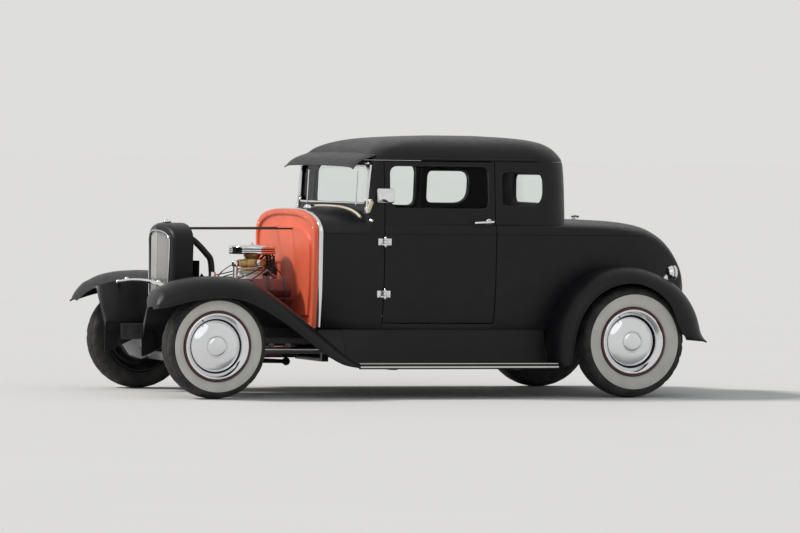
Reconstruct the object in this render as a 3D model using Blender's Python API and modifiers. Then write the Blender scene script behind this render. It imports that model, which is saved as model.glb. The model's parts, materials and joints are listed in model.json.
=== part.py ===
"""Chopped early thirties coupe hot rod: open engine, full fenders, running boards and whitewalls.

Metres, Z up. The nose points along -Y and the driver's side is +X. The origin lies on the
ground under the middle of the whole car.
"""
import math

import bmesh
import bpy
from mathutils import Matrix, Vector

# Driving dimensions
wheelbase = 2.629
front_overhang = 0.400
rear_overhang = 0.500
front_tyre_radius = 0.308
rear_tyre_radius = 0.336
front_tyre_width = 0.165
rear_tyre_width = 0.185
rim_radius = 0.205
body_half_width = 0.665
body_top = 1.103
body_low = 0.405
roof_top = 1.555
firewall_setback = 0.7145
cab_front_setback = 0.9825
cab_length = 1.322
wall = 0.030
skin = 0.006
fit = 0.0003
door_gap = 0.007
seam = 0.006
overrun = 0.200

# Widths that follow the body's
front_track = body_half_width * 2 + 0.090
rear_track = body_half_width * 2 + 0.110
fender_half_width = body_half_width + 0.190

# Places along the car, worked out from the driving dimensions
overall_length = front_overhang + wheelbase + rear_overhang
front_axle_y = front_overhang - overall_length / 2
rear_axle_y = front_axle_y + wheelbase
firewall_y = front_axle_y + firewall_setback
cab_front_y = front_axle_y + cab_front_setback
cab_back_y = cab_front_y + cab_length
tail_y = rear_axle_y + rear_overhang
body_length = tail_y - firewall_y


def cab_z(share):
    """A height between the top of the body and the top of the roof."""
    return body_top + (roof_top - body_top) * share


drip_height = cab_z(0.668)

SIDES = (("left", 1), ("right", -1))
RING_STEPS = 24
WHEEL_STEPS = 20
SMALL_STEPS = 12

# Scene collections: the model itself and the tools that cut it


def empty_scene():
    for old in list(bpy.data.objects):
        bpy.data.objects.remove(old, do_unlink=True)


def new_collection(name):
    made = bpy.data.collections.new(name)
    bpy.context.scene.collection.children.link(made)
    return made


empty_scene()
model = new_collection("coupe_hot_rod")
cutters = new_collection("cutters")


# Finishes


def finish(name, colour, roughness, metallic=0.0):
    made = bpy.data.materials.new(name)
    made.use_nodes = True
    shader = made.node_tree.nodes["Principled BSDF"]
    shader.inputs["Base Color"].default_value = (*colour, 1.0)
    shader.inputs["Roughness"].default_value = roughness
    shader.inputs["Metallic"].default_value = metallic
    made.diffuse_color = (*colour, 1.0)
    return made


SATIN_BLACK = ((0.020, 0.022, 0.028), 0.55, 0.0)
FRAME_BLACK = ((0.015, 0.015, 0.016), 0.50, 0.2)
CHROME = ((0.75, 0.76, 0.78), 0.12, 1.0)
STEEL = ((0.45, 0.45, 0.46), 0.35, 1.0)
CAST_IRON = ((0.10, 0.045, 0.040), 0.60, 0.3)
CORAL = ((0.90, 0.15, 0.07), 0.38, 0.0)
RUBBER = ((0.018, 0.018, 0.019), 0.80, 0.0)
CLEAR = ((0.60, 0.66, 0.65), 0.05, 0.0)
HIDE = ((0.16, 0.075, 0.045), 0.60, 0.0)
LAMP_RED = ((0.50, 0.02, 0.02), 0.20, 0.0)


# Shape helpers


def place(obj, name, look, pivot=None):
    """Name an object, give it its own finish and link it to the model.

    A piece that moves has its origin on its pivot.
    """
    obj.name = name
    obj.data.name = name
    obj.data.materials.clear()
    obj.data.materials.append(finish(name + "_finish", *look))
    for held in list(obj.users_collection):
        held.objects.unlink(obj)
    model.objects.link(obj)
    if pivot is not None:
        obj.data.transform(Matrix.Translation(-Vector(pivot)))
        obj.location = pivot
    return obj


def as_cutter(obj):
    for held in list(obj.users_collection):
        held.objects.unlink(obj)
    cutters.objects.link(obj)
    obj.hide_render = True
    obj.display_type = "WIRE"
    return obj


def from_bmesh(shape, name="shape"):
    mesh = bpy.data.meshes.new(name)
    shape.to_mesh(mesh)
    shape.free()
    obj = bpy.data.objects.new(name, mesh)
    model.objects.link(obj)
    return obj


def settled(obj):
    """The object as its modifiers leave it, as a plain mesh with its place in the mesh."""
    bpy.context.view_layer.update()
    graph = bpy.context.evaluated_depsgraph_get()
    mesh = bpy.data.meshes.new_from_object(obj.evaluated_get(graph))
    mesh.transform(obj.matrix_world)
    shape = bmesh.new()
    shape.from_mesh(mesh)
    bmesh.ops.remove_doubles(shape, verts=shape.verts, dist=merge_distance)
    shape.to_mesh(mesh)
    shape.free()
    made = bpy.data.objects.new(obj.name, mesh)
    model.objects.link(made)
    bpy.data.objects.remove(obj, do_unlink=True)
    return made


merge_distance = 0.00005


def boolean(obj, tool, operation):
    """Cut, join or trim obj with tool, and keep the result as a plain mesh."""
    as_cutter(tool)
    step = obj.modifiers.new(operation.lower(), "BOOLEAN")
    step.operation = operation
    step.solver = "EXACT"
    step.object = tool
    made = settled(obj)
    bpy.data.objects.remove(tool, do_unlink=True)
    return made


def cut(obj, tool):
    return boolean(obj, tool, "DIFFERENCE")


def join(obj, tool):
    return boolean(obj, tool, "UNION")


def common(obj, tool):
    return boolean(obj, tool, "INTERSECT")


def copy_of(obj):
    made = bpy.data.objects.new(obj.name, obj.data.copy())
    model.objects.link(made)
    return made


def box(low, high, bevel=0.0, segments=2):
    """A block between two corners, with its edges rounded where a bevel is given."""
    shape = bmesh.new()
    bmesh.ops.create_cube(shape, size=1.0)
    size = [b - a for a, b in zip(low, high)]
    centre = [(a + b) / 2 for a, b in zip(low, high)]
    bmesh.ops.scale(shape, vec=size, verts=shape.verts)
    if bevel:
        bmesh.ops.bevel(shape, geom=shape.edges, offset=bevel, segments=segments,
                        affect="EDGES", profile=0.5)
    bmesh.ops.translate(shape, vec=centre, verts=shape.verts)
    return from_bmesh(shape)


def turned(profile, axis, centre, steps, parent_name="turned"):
    """A profile of (radius, along) points turned about an axis through centre.

    The points run from the far end of the axis back to its near end on the outer side.
    """
    shape = bmesh.new()
    points = [shape.verts.new((radius, 0.0, along)) for radius, along in profile]
    for first, second in zip(points, points[1:]):
        shape.edges.new((first, second))
    if profile[0][0] > merge_distance and profile[-1][0] > merge_distance:
        shape.edges.new((points[-1], points[0]))
    obj = from_bmesh(shape, parent_name)
    spin = obj.modifiers.new("turn", "SCREW")
    spin.axis = "Z"
    spin.angle = math.tau
    spin.steps = steps
    spin.render_steps = steps
    spin.use_merge_vertices = True
    spin.merge_threshold = merge_distance
    spin.use_normal_calculate = False
    turn = Vector((0, 0, 1)).rotation_difference(Vector(axis)).to_matrix().to_4x4()
    obj.matrix_world = Matrix.Translation(centre) @ turn
    return settled(obj)


def tube(points, radius, sides=1, name="tube"):
    """A round bar along the points, with closed ends."""
    curve = bpy.data.curves.new(name, "CURVE")
    curve.dimensions = "3D"
    curve.bevel_depth = radius
    curve.bevel_resolution = sides
    curve.use_fill_caps = True
    line = curve.splines.new("POLY")
    line.points.add(len(points) - 1)
    for target, point in zip(line.points, points):
        target.co = (*point, 1.0)
    obj = bpy.data.objects.new(name, curve)
    model.objects.link(obj)
    return settled(obj)


def plate(outlines, near, far, plane):
    """A flat outline, with any holes after it, given thickness between two places.

    plane "XZ" stands across the car, "YZ" stands along it and "XY" lies flat.
    """
    curve = bpy.data.curves.new("plate", "CURVE")
    curve.dimensions = "2D"
    curve.fill_mode = "BOTH"
    curve.extrude = abs(far - near) / 2
    for outline in outlines:
        line = curve.splines.new("POLY")
        line.points.add(len(outline) - 1)
        for target, (across, up) in zip(line.points, outline):
            target.co = (across, up, 0.0, 1.0)
        line.use_cyclic_u = True
    obj = bpy.data.objects.new("plate", curve)
    model.objects.link(obj)
    middle = (near + far) / 2
    frames = {
        "XY": Matrix(((1, 0, 0, 0), (0, 1, 0, 0), (0, 0, 1, middle), (0, 0, 0, 1))),
        "XZ": Matrix(((1, 0, 0, 0), (0, 0, -1, middle), (0, 1, 0, 0), (0, 0, 0, 1))),
        "YZ": Matrix(((0, 0, 1, middle), (1, 0, 0, 0), (0, 1, 0, 0), (0, 0, 0, 1))),
    }
    obj.matrix_world = frames[plane]
    return settled(obj)


def loft(rings, closed_ends=True):
    """A solid through rings of as many points each, every ring run the same way round."""
    shape = bmesh.new()
    loops = [[shape.verts.new(point) for point in ring] for ring in rings]
    count = len(rings[0])
    for near, far in zip(loops, loops[1:]):
        for i in range(count):
            j = (i + 1) % count
            shape.faces.new((near[i], near[j], far[j], far[i]))
    if closed_ends:
        shape.faces.new(list(reversed(loops[0])))
        shape.faces.new(loops[-1])
    bmesh.ops.recalc_face_normals(shape, faces=shape.faces)
    return from_bmesh(shape)


def sheet(rows, flip, thickness):
    """An open surface through rows of points, given its thickness below the surface."""
    shape = bmesh.new()
    lines = [[shape.verts.new(point) for point in row] for row in rows]
    for near, far in zip(lines, lines[1:]):
        for i in range(len(near) - 1):
            corners = [near[i], near[i + 1], far[i + 1], far[i]]
            shape.faces.new(corners[::-1] if flip else corners)
    obj = from_bmesh(shape)
    walls = obj.modifiers.new("thickness", "SOLIDIFY")
    walls.thickness = thickness
    walls.offset = -1.0
    walls.use_even_offset = True
    return settled(obj)


def rounded(points, radius_shares, steps=3):
    """An outline with each corner rounded by its share of the shorter edge beside it."""
    made = []
    count = len(points)
    for i, (corner, share) in enumerate(zip(points, radius_shares)):
        here = Vector(corner)
        before = Vector(points[i - 1]) - here
        after = Vector(points[(i + 1) % count]) - here
        reach = share * min(before.length, after.length)
        start = here + before.normalized() * reach
        end = here + after.normalized() * reach
        if not share:
            made.append(tuple(here))
            continue
        for k in range(steps + 1):
            t = k / steps
            point = start * (1 - t) ** 2 + here * 2 * t * (1 - t) + end * t ** 2
            made.append(tuple(point))
    return made


def mirrored(points, side):
    return [(side * x, y, z) for x, y, z in points]


def soften(obj, angle_degrees=32):
    obj.data.shade_smooth()
    obj.data.set_sharp_from_angle(angle=math.radians(angle_degrees))
    return obj


# Body: sections of the tub along its length, as shares of its driving dimensions
# columns: place along the body, half width, top, shoulder height, bottom
tub_section_shares = (
    (0.000, 0.782, 1.000, 0.861, 1.000),
    (0.075, 0.902, 1.011, 0.868, 1.000),
    (0.145, 0.965, 1.020, 0.875, 1.000),
    (0.290, 0.998, 0.997, 0.887, 1.000),
    (0.438, 1.000, 0.979, 0.899, 1.000),
    (0.581, 0.985, 0.966, 0.909, 1.000),
    (0.664, 0.955, 0.961, 0.907, 1.010),
    (0.768, 0.887, 0.956, 0.895, 1.030),
    (0.830, 0.842, 0.950, 0.875, 1.050),
    (0.880, 0.797, 0.936, 0.845, 1.070),
    (0.925, 0.744, 0.898, 0.795, 1.090),
    (0.963, 0.684, 0.828, 0.722, 1.110),
    (0.988, 0.632, 0.743, 0.645, 1.130),
    (1.000, 0.571, 0.680, 0.590, 1.150),
)
tub_foot_share = 0.935
tub_waist_share = 0.990
tub_waist_height_share = 0.45
shoulder_steps = 5
shoulder_power = 0.75

# Greenhouse: outlines of the cab from the belt up to the roof
# columns: height as a share of the way from body top to roof, front back of the cab front, rear ahead of the cab
# back, half width, front corner radius, rear corner radius
belt_share = 0.14
cab_level_shares = (
    (-0.328, 0.000, 0.000, 0.960, 0.06, 0.30),
    (-0.128, 0.004, 0.000, 0.958, 0.06, 0.30),
    (0.370, 0.012, 0.000, 0.935, 0.06, 0.31),
    (0.656, 0.018, 0.002, 0.912, 0.07, 0.33),
    (0.790, 0.045, 0.020, 0.865, 0.14, 0.36),
    (0.880, 0.100, 0.048, 0.790, 0.22, 0.38),
    (0.942, 0.185, 0.100, 0.670, 0.28, 0.38),
    (0.979, 0.320, 0.190, 0.480, 0.30, 0.34),
    (1.000, 0.480, 0.330, 0.230, 0.18, 0.20),
)


def tub_ring(row, inset, drop, y):
    """One section of the tub, run round from its left foot over the top to its right foot."""
    along, width, top, shoulder, low = row
    half = body_half_width * width - inset
    top_z = body_top * top - inset
    shoulder_z = body_top * shoulder - inset
    low_z = body_low * low - drop
    waist_z = low_z + (shoulder_z - low_z) * tub_waist_height_share
    points = [(half * tub_foot_share, low_z), (half * tub_waist_share, waist_z)]
    for k in range(shoulder_steps + 1):
        angle = math.pi / 2 * k / shoulder_steps
        x = half * math.cos(angle) ** shoulder_power
        z = shoulder_z + (top_z - shoulder_z) * math.sin(angle) ** shoulder_power
        points.append((x, z))
    left = points[:-1]
    right = [(-x, z) for x, z in reversed(left)]
    return [(x, y, z) for x, z in left + [points[-1]] + right]


def tub_half_width(y):
    """Half width of the tub at a place along it, between its sections."""
    along = min(max((y - firewall_y) / body_length, 0.0), 1.0)
    for near, far in zip(tub_section_shares, tub_section_shares[1:]):
        if along <= far[0]:
            t = (along - near[0]) / (far[0] - near[0])
            return body_half_width * (near[1] + (far[1] - near[1]) * t)
    return body_half_width * tub_section_shares[-1][1]


def tub_top_z(y):
    """Height of the middle of the tub's top at a place along it."""
    along = min(max((y - firewall_y) / body_length, 0.0), 1.0)
    for near, far in zip(tub_section_shares, tub_section_shares[1:]):
        if along <= far[0]:
            t = (along - near[0]) / (far[0] - near[0])
            return body_top * (near[2] + (far[2] - near[2]) * t)
    return body_top * tub_section_shares[-1][2]


def tub_solid(inset=0.0):
    """The lower body as a closed solid, drawn in on every side by the inset."""
    rings = []
    hollow = inset > 0.0
    drop = overrun if hollow else 0.0
    for row in tub_section_shares:
        y = firewall_y + body_length * row[0]
        if row[0] == 0.0 and hollow:
            rings.append(tub_ring(row, inset, drop, y - overrun))
        if row[0] == 1.0:
            y = y - inset
        rings.append(tub_ring(row, inset, drop, y))
    return loft(rings)


def cab_ring(row, inset):
    """One outline of the greenhouse, run round from the nose on the left to the right."""
    height, front, back, width, front_round, rear_round = row
    z = cab_z(height) - (inset if height > belt_share else 0.0)
    half = body_half_width * width - inset
    y_front = cab_front_y + cab_length * front + inset
    y_back = cab_back_y - cab_length * back - inset
    r_front = max(body_half_width * front_round - inset, inset or skin)
    r_rear = max(body_half_width * rear_round - inset, inset or skin)
    half_points = []
    for centre, radius, start in (
        ((half - r_front, y_front + r_front), r_front, -math.pi / 2),
        ((half - r_rear, y_back - r_rear), r_rear, 0.0),
    ):
        steps = 3 if start else 5
        for k in range(steps + 1):
            angle = start + math.pi / 2 * k / steps
            half_points.append((centre[0] + radius * math.cos(angle),
                                centre[1] + radius * math.sin(angle)))
    outline = half_points + [(-x, y) for x, y in reversed(half_points)]
    return [(x, y, z) for x, y in outline]


def cab_solid(inset=0.0):
    return loft([cab_ring(row, inset) for row in cab_level_shares])


def body_solid(inset=0.0):
    return join(tub_solid(inset), cab_solid(inset))


# Doors and windows, seen from the side
door_front_y = cab_front_y + 0.106
door_length = 0.700
door_rear_y = door_front_y + door_length
door_low = 0.440
window_low = cab_z(0.033)
window_top = cab_z(0.602)
window_front_inset = 0.030
window_rear_inset = 0.032
quarter_window_front = 0.042
quarter_window_length = 0.278
quarter_window_low = cab_z(0.073)
quarter_window_top = cab_z(0.533)
windshield_half_width = body_half_width * 0.865
windshield_low = cab_z(0.093)
windshield_top = cab_z(0.595)
back_window_half_width = body_half_width * 0.436
back_window_low = cab_z(0.104)
back_window_top = cab_z(0.502)
lid_half_width = body_half_width * 0.602
lid_front_y = cab_back_y + 0.140
lid_back_y = tail_y - 0.075
lid_reach_low = 0.700
glass_thickness = 0.005
glass_setback = 0.012
hinge_stand = 0.014
hinge_radius = 0.010
hinge_knuckle = 0.026
hinge_leaf = 0.034
hinge_heights = (body_top * 0.555, body_top * 0.835)
latch_half_width = 0.090
latch_reach = 0.018
hinge_y = door_front_y - door_gap / 2
handle_length = 0.105
handle_radius = 0.009
handle_stand = 0.035
handle_drop = 0.075
handle_back = 0.040


def side_prism(outline, side, inner=0.0, outer=1.0):
    """A side view outline carried across one side of the car."""
    near = side * body_half_width * inner
    far = side * body_half_width * (1.0 + outer)
    return plate([outline], min(near, far), max(near, far), "YZ")


def grown(outline, amount):
    """An outline moved out by an amount, or in where it is negative, about its middle."""
    middle_y = sum(p[0] for p in outline) / len(outline)
    middle_z = sum(p[1] for p in outline) / len(outline)
    half_y = max(abs(p[0] - middle_y) for p in outline)
    half_z = max(abs(p[1] - middle_z) for p in outline)
    return [(middle_y + (y - middle_y) * (1 + amount / half_y),
             middle_z + (z - middle_z) * (1 + amount / half_z)) for y, z in outline]


def rectangle(low_a, high_a, low_b, high_b):
    return [(low_a, low_b), (high_a, low_b), (high_a, high_b), (low_a, high_b)]


corner_shares = (0.22, 0.22, 0.22, 0.22)
door_window = rounded(rectangle(door_front_y + window_front_inset, door_rear_y - window_rear_inset,
                                window_low, window_top), corner_shares)
quarter_front = door_rear_y + quarter_window_front
quarter_window = rounded(
    rectangle(quarter_front, quarter_front + quarter_window_length,
              quarter_window_low, quarter_window_top),
    (0.22, 0.48, 0.30, 0.22))
windshield_outline = rounded(rectangle(-windshield_half_width, windshield_half_width,
                                       windshield_low, windshield_top), corner_shares)
back_window = rounded(rectangle(-back_window_half_width, back_window_half_width,
                                back_window_low, back_window_top), (0.3, 0.3, 0.3, 0.3))


def door_outline(amount=0.0):
    return rectangle(door_front_y - amount, door_rear_y + amount,
                     door_low - amount, drip_height - door_gap + amount)


def hinge_half_width():
    """The door hinge stands just outside the body side at the front edge of the door."""
    return tub_half_width(door_front_y) + hinge_stand


def door_handle(side):
    """A lever handle on its boss, below the window near the door's rear edge."""
    x = body_half_width * cab_level_shares[1][3]
    y = door_rear_y - handle_back
    z = window_low - handle_drop
    stem = [(x - wall / 2, y, z), (x + handle_stand, y, z)]
    lever = [(x + handle_stand - handle_radius / 2, y + handle_radius * 2, z),
             (x + handle_stand, y - handle_length * 0.4, z + handle_radius / 3),
             (x + handle_stand - handle_radius, y - handle_length, z - handle_radius / 2)]
    boss = tube(mirrored(stem, side), handle_radius, 1)
    return join(boss, tube(mirrored(lever, side), handle_radius * 0.8, 1))


def hinge_part(side, z, low, high, ahead):
    """One knuckle of a hinge with its leaf, which lies on the body ahead of the pin or behind it."""
    x = hinge_half_width()
    knuckle = turned([(0.0, high), (hinge_radius, high), (hinge_radius, low), (0.0, low)],
                     (0, 0, 1), (side * x, hinge_y, z), SMALL_STEPS)
    reach = hinge_y - hinge_leaf if ahead else hinge_y + hinge_leaf
    inner = tub_half_width(door_front_y) * tub_waist_share - wall * 0.7
    leaf = box((min(side * inner, side * x), min(hinge_y, reach), z + low),
               (max(side * inner, side * x), max(hinge_y, reach), z + high))
    return join(knuckle, leaf)


def latch_plate():
    """The plate under the lid's front edge that it rests on, carried by the deck."""
    edge = lid_front_y - seam
    half = latch_half_width
    lip = common(cut(body_solid(wall + fit), body_solid(wall + fit + skin)),
                 box((-half, edge - latch_reach, lid_reach_low), (half, lid_front_y + latch_reach, roof_top)))
    half = half - skin / 2
    carrier = common(cut(body_solid(wall / 2), body_solid(wall + fit + skin / 2)),
                     box((-half, edge - latch_reach + skin / 2, lid_reach_low), (half, edge - skin / 2, roof_top)))
    return join(carrier, lip)


def make_body():
    shell = cut(body_solid(), body_solid(wall))
    windshield_cut = plate([windshield_outline], cab_front_y - overrun, cab_front_y + overrun, "XZ")
    back_cut = plate([back_window], cab_back_y - overrun, cab_back_y + overrun / 2, "XZ")
    shell = cut(cut(shell, windshield_cut), back_cut)
    for name, side in SIDES:
        shell = cut(shell, side_prism(door_window, side))
        shell = cut(shell, side_prism(quarter_window, side))
    wide = body_half_width + overrun
    high = roof_top + overrun
    nose = firewall_y - overrun
    tail = tail_y + overrun

    roof = common(copy_of(shell), box((-wide, nose, drip_height), (wide, tail, high)))
    lower = common(shell, box((-wide, nose, -overrun), (wide, tail, drip_height - fit)))

    lid_low = (-lid_half_width, lid_front_y, lid_reach_low)
    lid_high = (lid_half_width, lid_back_y, high)
    lid = common(copy_of(lower), box(lid_low, lid_high))
    lid_hole_low = (-lid_half_width - seam, lid_front_y - seam, lid_reach_low - seam)
    lid_hole_high = (lid_half_width + seam, lid_back_y + seam, high)
    lower = cut(lower, box(lid_hole_low, lid_hole_high))
    for name, side in SIDES:
        door = common(copy_of(lower), side_prism(door_outline(), side))
        door = join(door, door_handle(side))
        for z in hinge_heights:
            door = join(door, hinge_part(side, z, -hinge_knuckle / 2, hinge_knuckle / 2, False))
        hinge = (side * hinge_half_width(), hinge_y, (door_low + drip_height) / 2)
        place(soften(door), "door_" + name, SATIN_BLACK, hinge)
        lower = cut(lower, side_prism(door_outline(door_gap), side))

    split_y = door_front_y
    cowl = common(copy_of(lower), box((-wide, nose, -overrun), (wide, split_y - fit, high)))
    rear = common(lower, box((-wide, split_y, -overrun), (wide, tail, high)))
    rear = join(rear, latch_plate())
    for name, side in SIDES:
        for z in hinge_heights:
            low = -hinge_knuckle * 1.5 - fit
            cowl = join(cowl, hinge_part(side, z, low, low + hinge_knuckle, True))
            cowl = join(cowl, hinge_part(side, z, -low - hinge_knuckle, -low, True))
    place(soften(roof), "roof", SATIN_BLACK)
    place(soften(lid), "deck_lid", SATIN_BLACK, (0, lid_back_y, tub_top_z(lid_back_y)))
    place(soften(cowl), "cowl", SATIN_BLACK)
    place(soften(rear), "body_rear", SATIN_BLACK)


def make_glass():
    pane = cut(body_solid(glass_setback), body_solid(glass_setback + glass_thickness))
    front_tool = plate([grown(windshield_outline, -fit)],
                       cab_front_y - overrun, cab_front_y + overrun, "XZ")
    place(common(copy_of(pane), front_tool), "windshield_glass", CLEAR)
    back_tool = plate([grown(back_window, -fit)], cab_back_y - overrun, cab_back_y + overrun / 2, "XZ")
    place(common(copy_of(pane), back_tool), "back_glass", CLEAR)
    for name, side in SIDES:
        door_tool = side_prism(grown(door_window, -fit), side)
        place(common(copy_of(pane), door_tool), "door_glass_" + name, CLEAR)
        quarter_tool = side_prism(grown(quarter_window, -fit), side)
        place(common(copy_of(pane), quarter_tool), "quarter_glass_" + name, CLEAR)
    bpy.data.objects.remove(pane, do_unlink=True)


# Wheels and tyres
hub_radius = 0.055
hub_depth = 0.030
wheel_offset_share = 0.30
rim_width_share = 0.80
rim_lip = 0.012
rim_bed_drop = 0.030
disc_thickness = 0.008
cap_radius_share = 0.82
cap_dome = 0.045


def tyre_profile(radius, width):
    """(radius, along the axle) points of a tyre's section."""
    bead = rim_radius + fit
    half = width / 2
    # columns: share of the wall from bead to tread, share of the half width
    wall_shares = ((0.0, 0.66), (0.22, 0.95), (0.52, 1.0), (0.82, 0.90), (0.96, 0.72), (1.0, 0.42))
    outer = [(bead + (radius - bead) * up, half * out) for up, out in wall_shares]
    return outer + [(r, -a) for r, a in reversed(outer)]


def wheel_profile(width):
    """Rim, dished disc and domed cap as one turned section, from the outer face inward."""
    half = width / 2 * rim_width_share
    rim_in = rim_radius - rim_bed_drop
    cap_radius = rim_in * cap_radius_share
    face = half * wheel_offset_share
    return [
        (0.0, face + cap_dome),
        (hub_radius, face + cap_dome - rim_lip / 2),
        (hub_radius + rim_lip / 2, face + cap_dome / 2 + rim_lip / 2),
        (cap_radius, face + rim_lip),
        (cap_radius + rim_lip / 2, face),
        (rim_in - disc_thickness, face),
        (rim_radius - disc_thickness, half),
        (rim_radius, half),
        (rim_radius, -half),
        (rim_in - disc_thickness, -half + rim_lip),
        (rim_in - disc_thickness, face - disc_thickness),
        (hub_radius, face - disc_thickness),
        (hub_radius, face - hub_depth),
        (0.0, face - hub_depth),
    ]


def make_wheels():
    # columns: end, axle place, track, tyre radius, tyre width
    for end, y, track, radius, width in (
        ("front", front_axle_y, front_track, front_tyre_radius, front_tyre_width),
        ("rear", rear_axle_y, rear_track, rear_tyre_radius, rear_tyre_width),
    ):
        for name, side in SIDES:
            centre = (side * track / 2, y, radius)
            axis = (side, 0, 0)
            tyre = turned(tyre_profile(radius, width), axis, centre, RING_STEPS)
            place(soften(tyre), "tyre_" + end + "_" + name, RUBBER, centre)
            wheel = turned(wheel_profile(width), axis, centre, RING_STEPS)
            place(soften(wheel), "wheel_" + end + "_" + name, CHROME, centre)


# Fenders. Rows of the front fender from its tip back to the running board
# columns: place from the axle as a share of its reach, inner edge, crown and outer edge as shares
# of the half width, how much of the apron is there, inner edge, crown and lip as shares of the height
fender_height = 0.715
fender_front_reach = front_overhang
fender_rear_reach = 0.858
front_fender_shares = (
    (-1.00, 0.800, 0.860, 0.920, 0.02, 0.742, 0.755, 0.735),
    (-0.94, 0.700, 0.830, 0.958, 0.03, 0.806, 0.830, 0.745),
    (-0.85, 0.625, 0.815, 0.978, 0.03, 0.858, 0.893, 0.752),
    (-0.82, 0.605, 0.813, 0.981, 0.04, 0.867, 0.904, 0.755),
    (-0.79, 0.592, 0.812, 0.984, 1.00, 0.875, 0.912, 0.759),
    (-0.60, 0.555, 0.809, 0.994, 1.00, 0.908, 0.960, 0.790),
    (-0.30, 0.535, 0.807, 1.000, 1.00, 0.928, 0.992, 0.823),
    (0.00, 0.535, 0.807, 1.000, 1.00, 0.926, 1.000, 0.837),
    (0.13, 0.535, 0.807, 1.000, 1.00, 0.912, 0.991, 0.820),
    (0.25, 0.535, 0.807, 1.000, 1.00, 0.882, 0.965, 0.768),
    (0.34, 0.537, 0.807, 1.000, 1.00, 0.842, 0.917, 0.712),
    (0.45, 0.540, 0.807, 1.000, 1.00, 0.764, 0.826, 0.632),
    (0.56, 0.548, 0.807, 1.000, 1.00, 0.672, 0.730, 0.540),
    (0.67, 0.565, 0.810, 1.000, 1.00, 0.572, 0.622, 0.440),
    (0.79, 0.620, 0.820, 1.000, 1.00, 0.465, 0.508, 0.345),
    (0.90, 0.690, 0.836, 1.000, 1.00, 0.362, 0.392, 0.284),
    (1.00, 0.745, 0.850, 1.000, 1.00, 0.292, 0.297, 0.262),
)
apron_seat_depth = 0.060
crown_steps = 4
inner_steps = 2

# Rear fender: rows round the wheel opening, from the running board over to the tail
# columns: turn in degrees, inner edge, crown, outer edge as shares of the half width,
# crown radius and lip radius as shares of the opening radius
opening_radius = 0.355
opening_forward = 0.040
rear_fender_shares = (
    (-19, 0.700, 0.850, 1.000, 1.375, 1.160),
    (-6, 0.690, 0.850, 1.000, 1.310, 1.060),
    (15, 0.670, 0.845, 1.000, 1.275, 1.010),
    (40, 0.640, 0.840, 1.000, 1.265, 1.000),
    (65, 0.615, 0.840, 1.000, 1.268, 1.000),
    (90, 0.590, 0.840, 1.000, 1.268, 1.000),
    (115, 0.565, 0.835, 1.000, 1.280, 0.985),
    (138, 0.550, 0.830, 1.000, 1.360, 0.960),
    (158, 0.545, 0.825, 0.995, 1.415, 0.930),
    (172, 0.550, 0.820, 0.980, 1.440, 0.985),
    (180, 0.570, 0.815, 0.950, 1.505, 1.440),
)


def fender_section(inner, crown, outer):
    """Points across a fender from its inner edge over the crown to the lip, as (x, rise)."""
    (x_in, z_in), (x_top, z_top), (x_out, z_lip) = inner, crown, outer
    points = []
    for k in range(inner_steps):
        t = k / inner_steps
        points.append((x_in + (x_top - x_in) * t, z_in + (z_top - z_in) * math.sin(math.pi / 2 * t)))
    for k in range(crown_steps + 1):
        angle = math.pi / 2 * k / crown_steps
        points.append((x_top + (x_out - x_top) * math.sin(angle),
                       z_lip + (z_top - z_lip) * math.cos(angle)))
    return points


def rail_half_width(y):
    """Outer face of the frame rail, which draws in ahead of the firewall."""
    share = (y - frame_front_y) / (firewall_y - frame_front_y)
    return nose_half_width + (rail_outer - nose_half_width) * min(max(share, 0.0), 1.0)


def apron_feet(y, inner, amount):
    """The apron's two lowest points, on the frame rail or under the foot of the cowl."""
    x_in, z_in = inner
    if y < firewall_y:
        foot_x = rail_half_width(y) + fit + skin
        feet = [(foot_x, rail_top - apron_seat_depth), (foot_x, rail_top)]
    else:
        foot_x = tub_half_width(y) * tub_foot_share - wall / 2
        feet = [(foot_x, body_low - fit - skin), (foot_x + skin, body_low - fit - skin)]
    return [(x_in + (x - x_in) * amount, z_in + (z - z_in) * amount) for x, z in feet]


def front_fender_sheet(side, thickness, grow=0.0):
    rows = []
    for along, x_in, x_top, x_out, apron, z_in, z_top, z_lip in front_fender_shares:
        reach = fender_front_reach if along < 0 else fender_rear_reach
        y = front_axle_y + along * reach
        w, h = fender_half_width, fender_height
        inner = (x_in * w - grow, z_in * h + grow)
        across = apron_feet(y, inner, apron)
        across += fender_section(inner, (x_top * w, z_top * h + grow), (x_out * w + grow, z_lip * h))
        rows.append(mirrored([(x, y, z) for x, z in across], side))
    return sheet(rows, side < 0, thickness)


def make_front_fenders():
    end = front_axle_y + fender_rear_reach
    wide = body_half_width + overrun * 2
    for name, side in SIDES:
        beyond = box((-wide, end, 0.0), (wide, end + overrun, body_top))
        place(soften(cut(front_fender_sheet(side, skin), beyond)), "front_fender_" + name, SATIN_BLACK)


def rear_fender_sheet(side, thickness, grow=0.0):
    centre_y = rear_axle_y - opening_forward
    centre_z = rear_tyre_radius
    rows = []
    for turn, x_in, x_top, x_out, crown, lip in rear_fender_shares:
        w, r = fender_half_width, opening_radius
        angle = math.radians(turn)
        across = fender_section((x_in * w, crown * r - skin + grow), (x_top * w, crown * r + grow),
                                (x_out * w + grow, lip * r))
        rows.append(mirrored([(x, centre_y - reach * math.cos(angle), centre_z + reach * math.sin(angle))
                              for x, reach in across], side))
    return sheet(rows, side < 0, thickness)


def make_rear_fenders():
    for name, side in SIDES:
        fender = cut(rear_fender_sheet(side, skin), body_solid(-fit))
        place(soften(fender), "rear_fender_" + name, SATIN_BLACK)


# Tail lamps on short stands over the rear fenders
lamp_radius = 0.042
lamp_length = 0.055
lamp_turn = 128
lamp_stand = 0.050
lamp_crown_share = 1.33
lamp_stem_radius = 0.014


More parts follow.
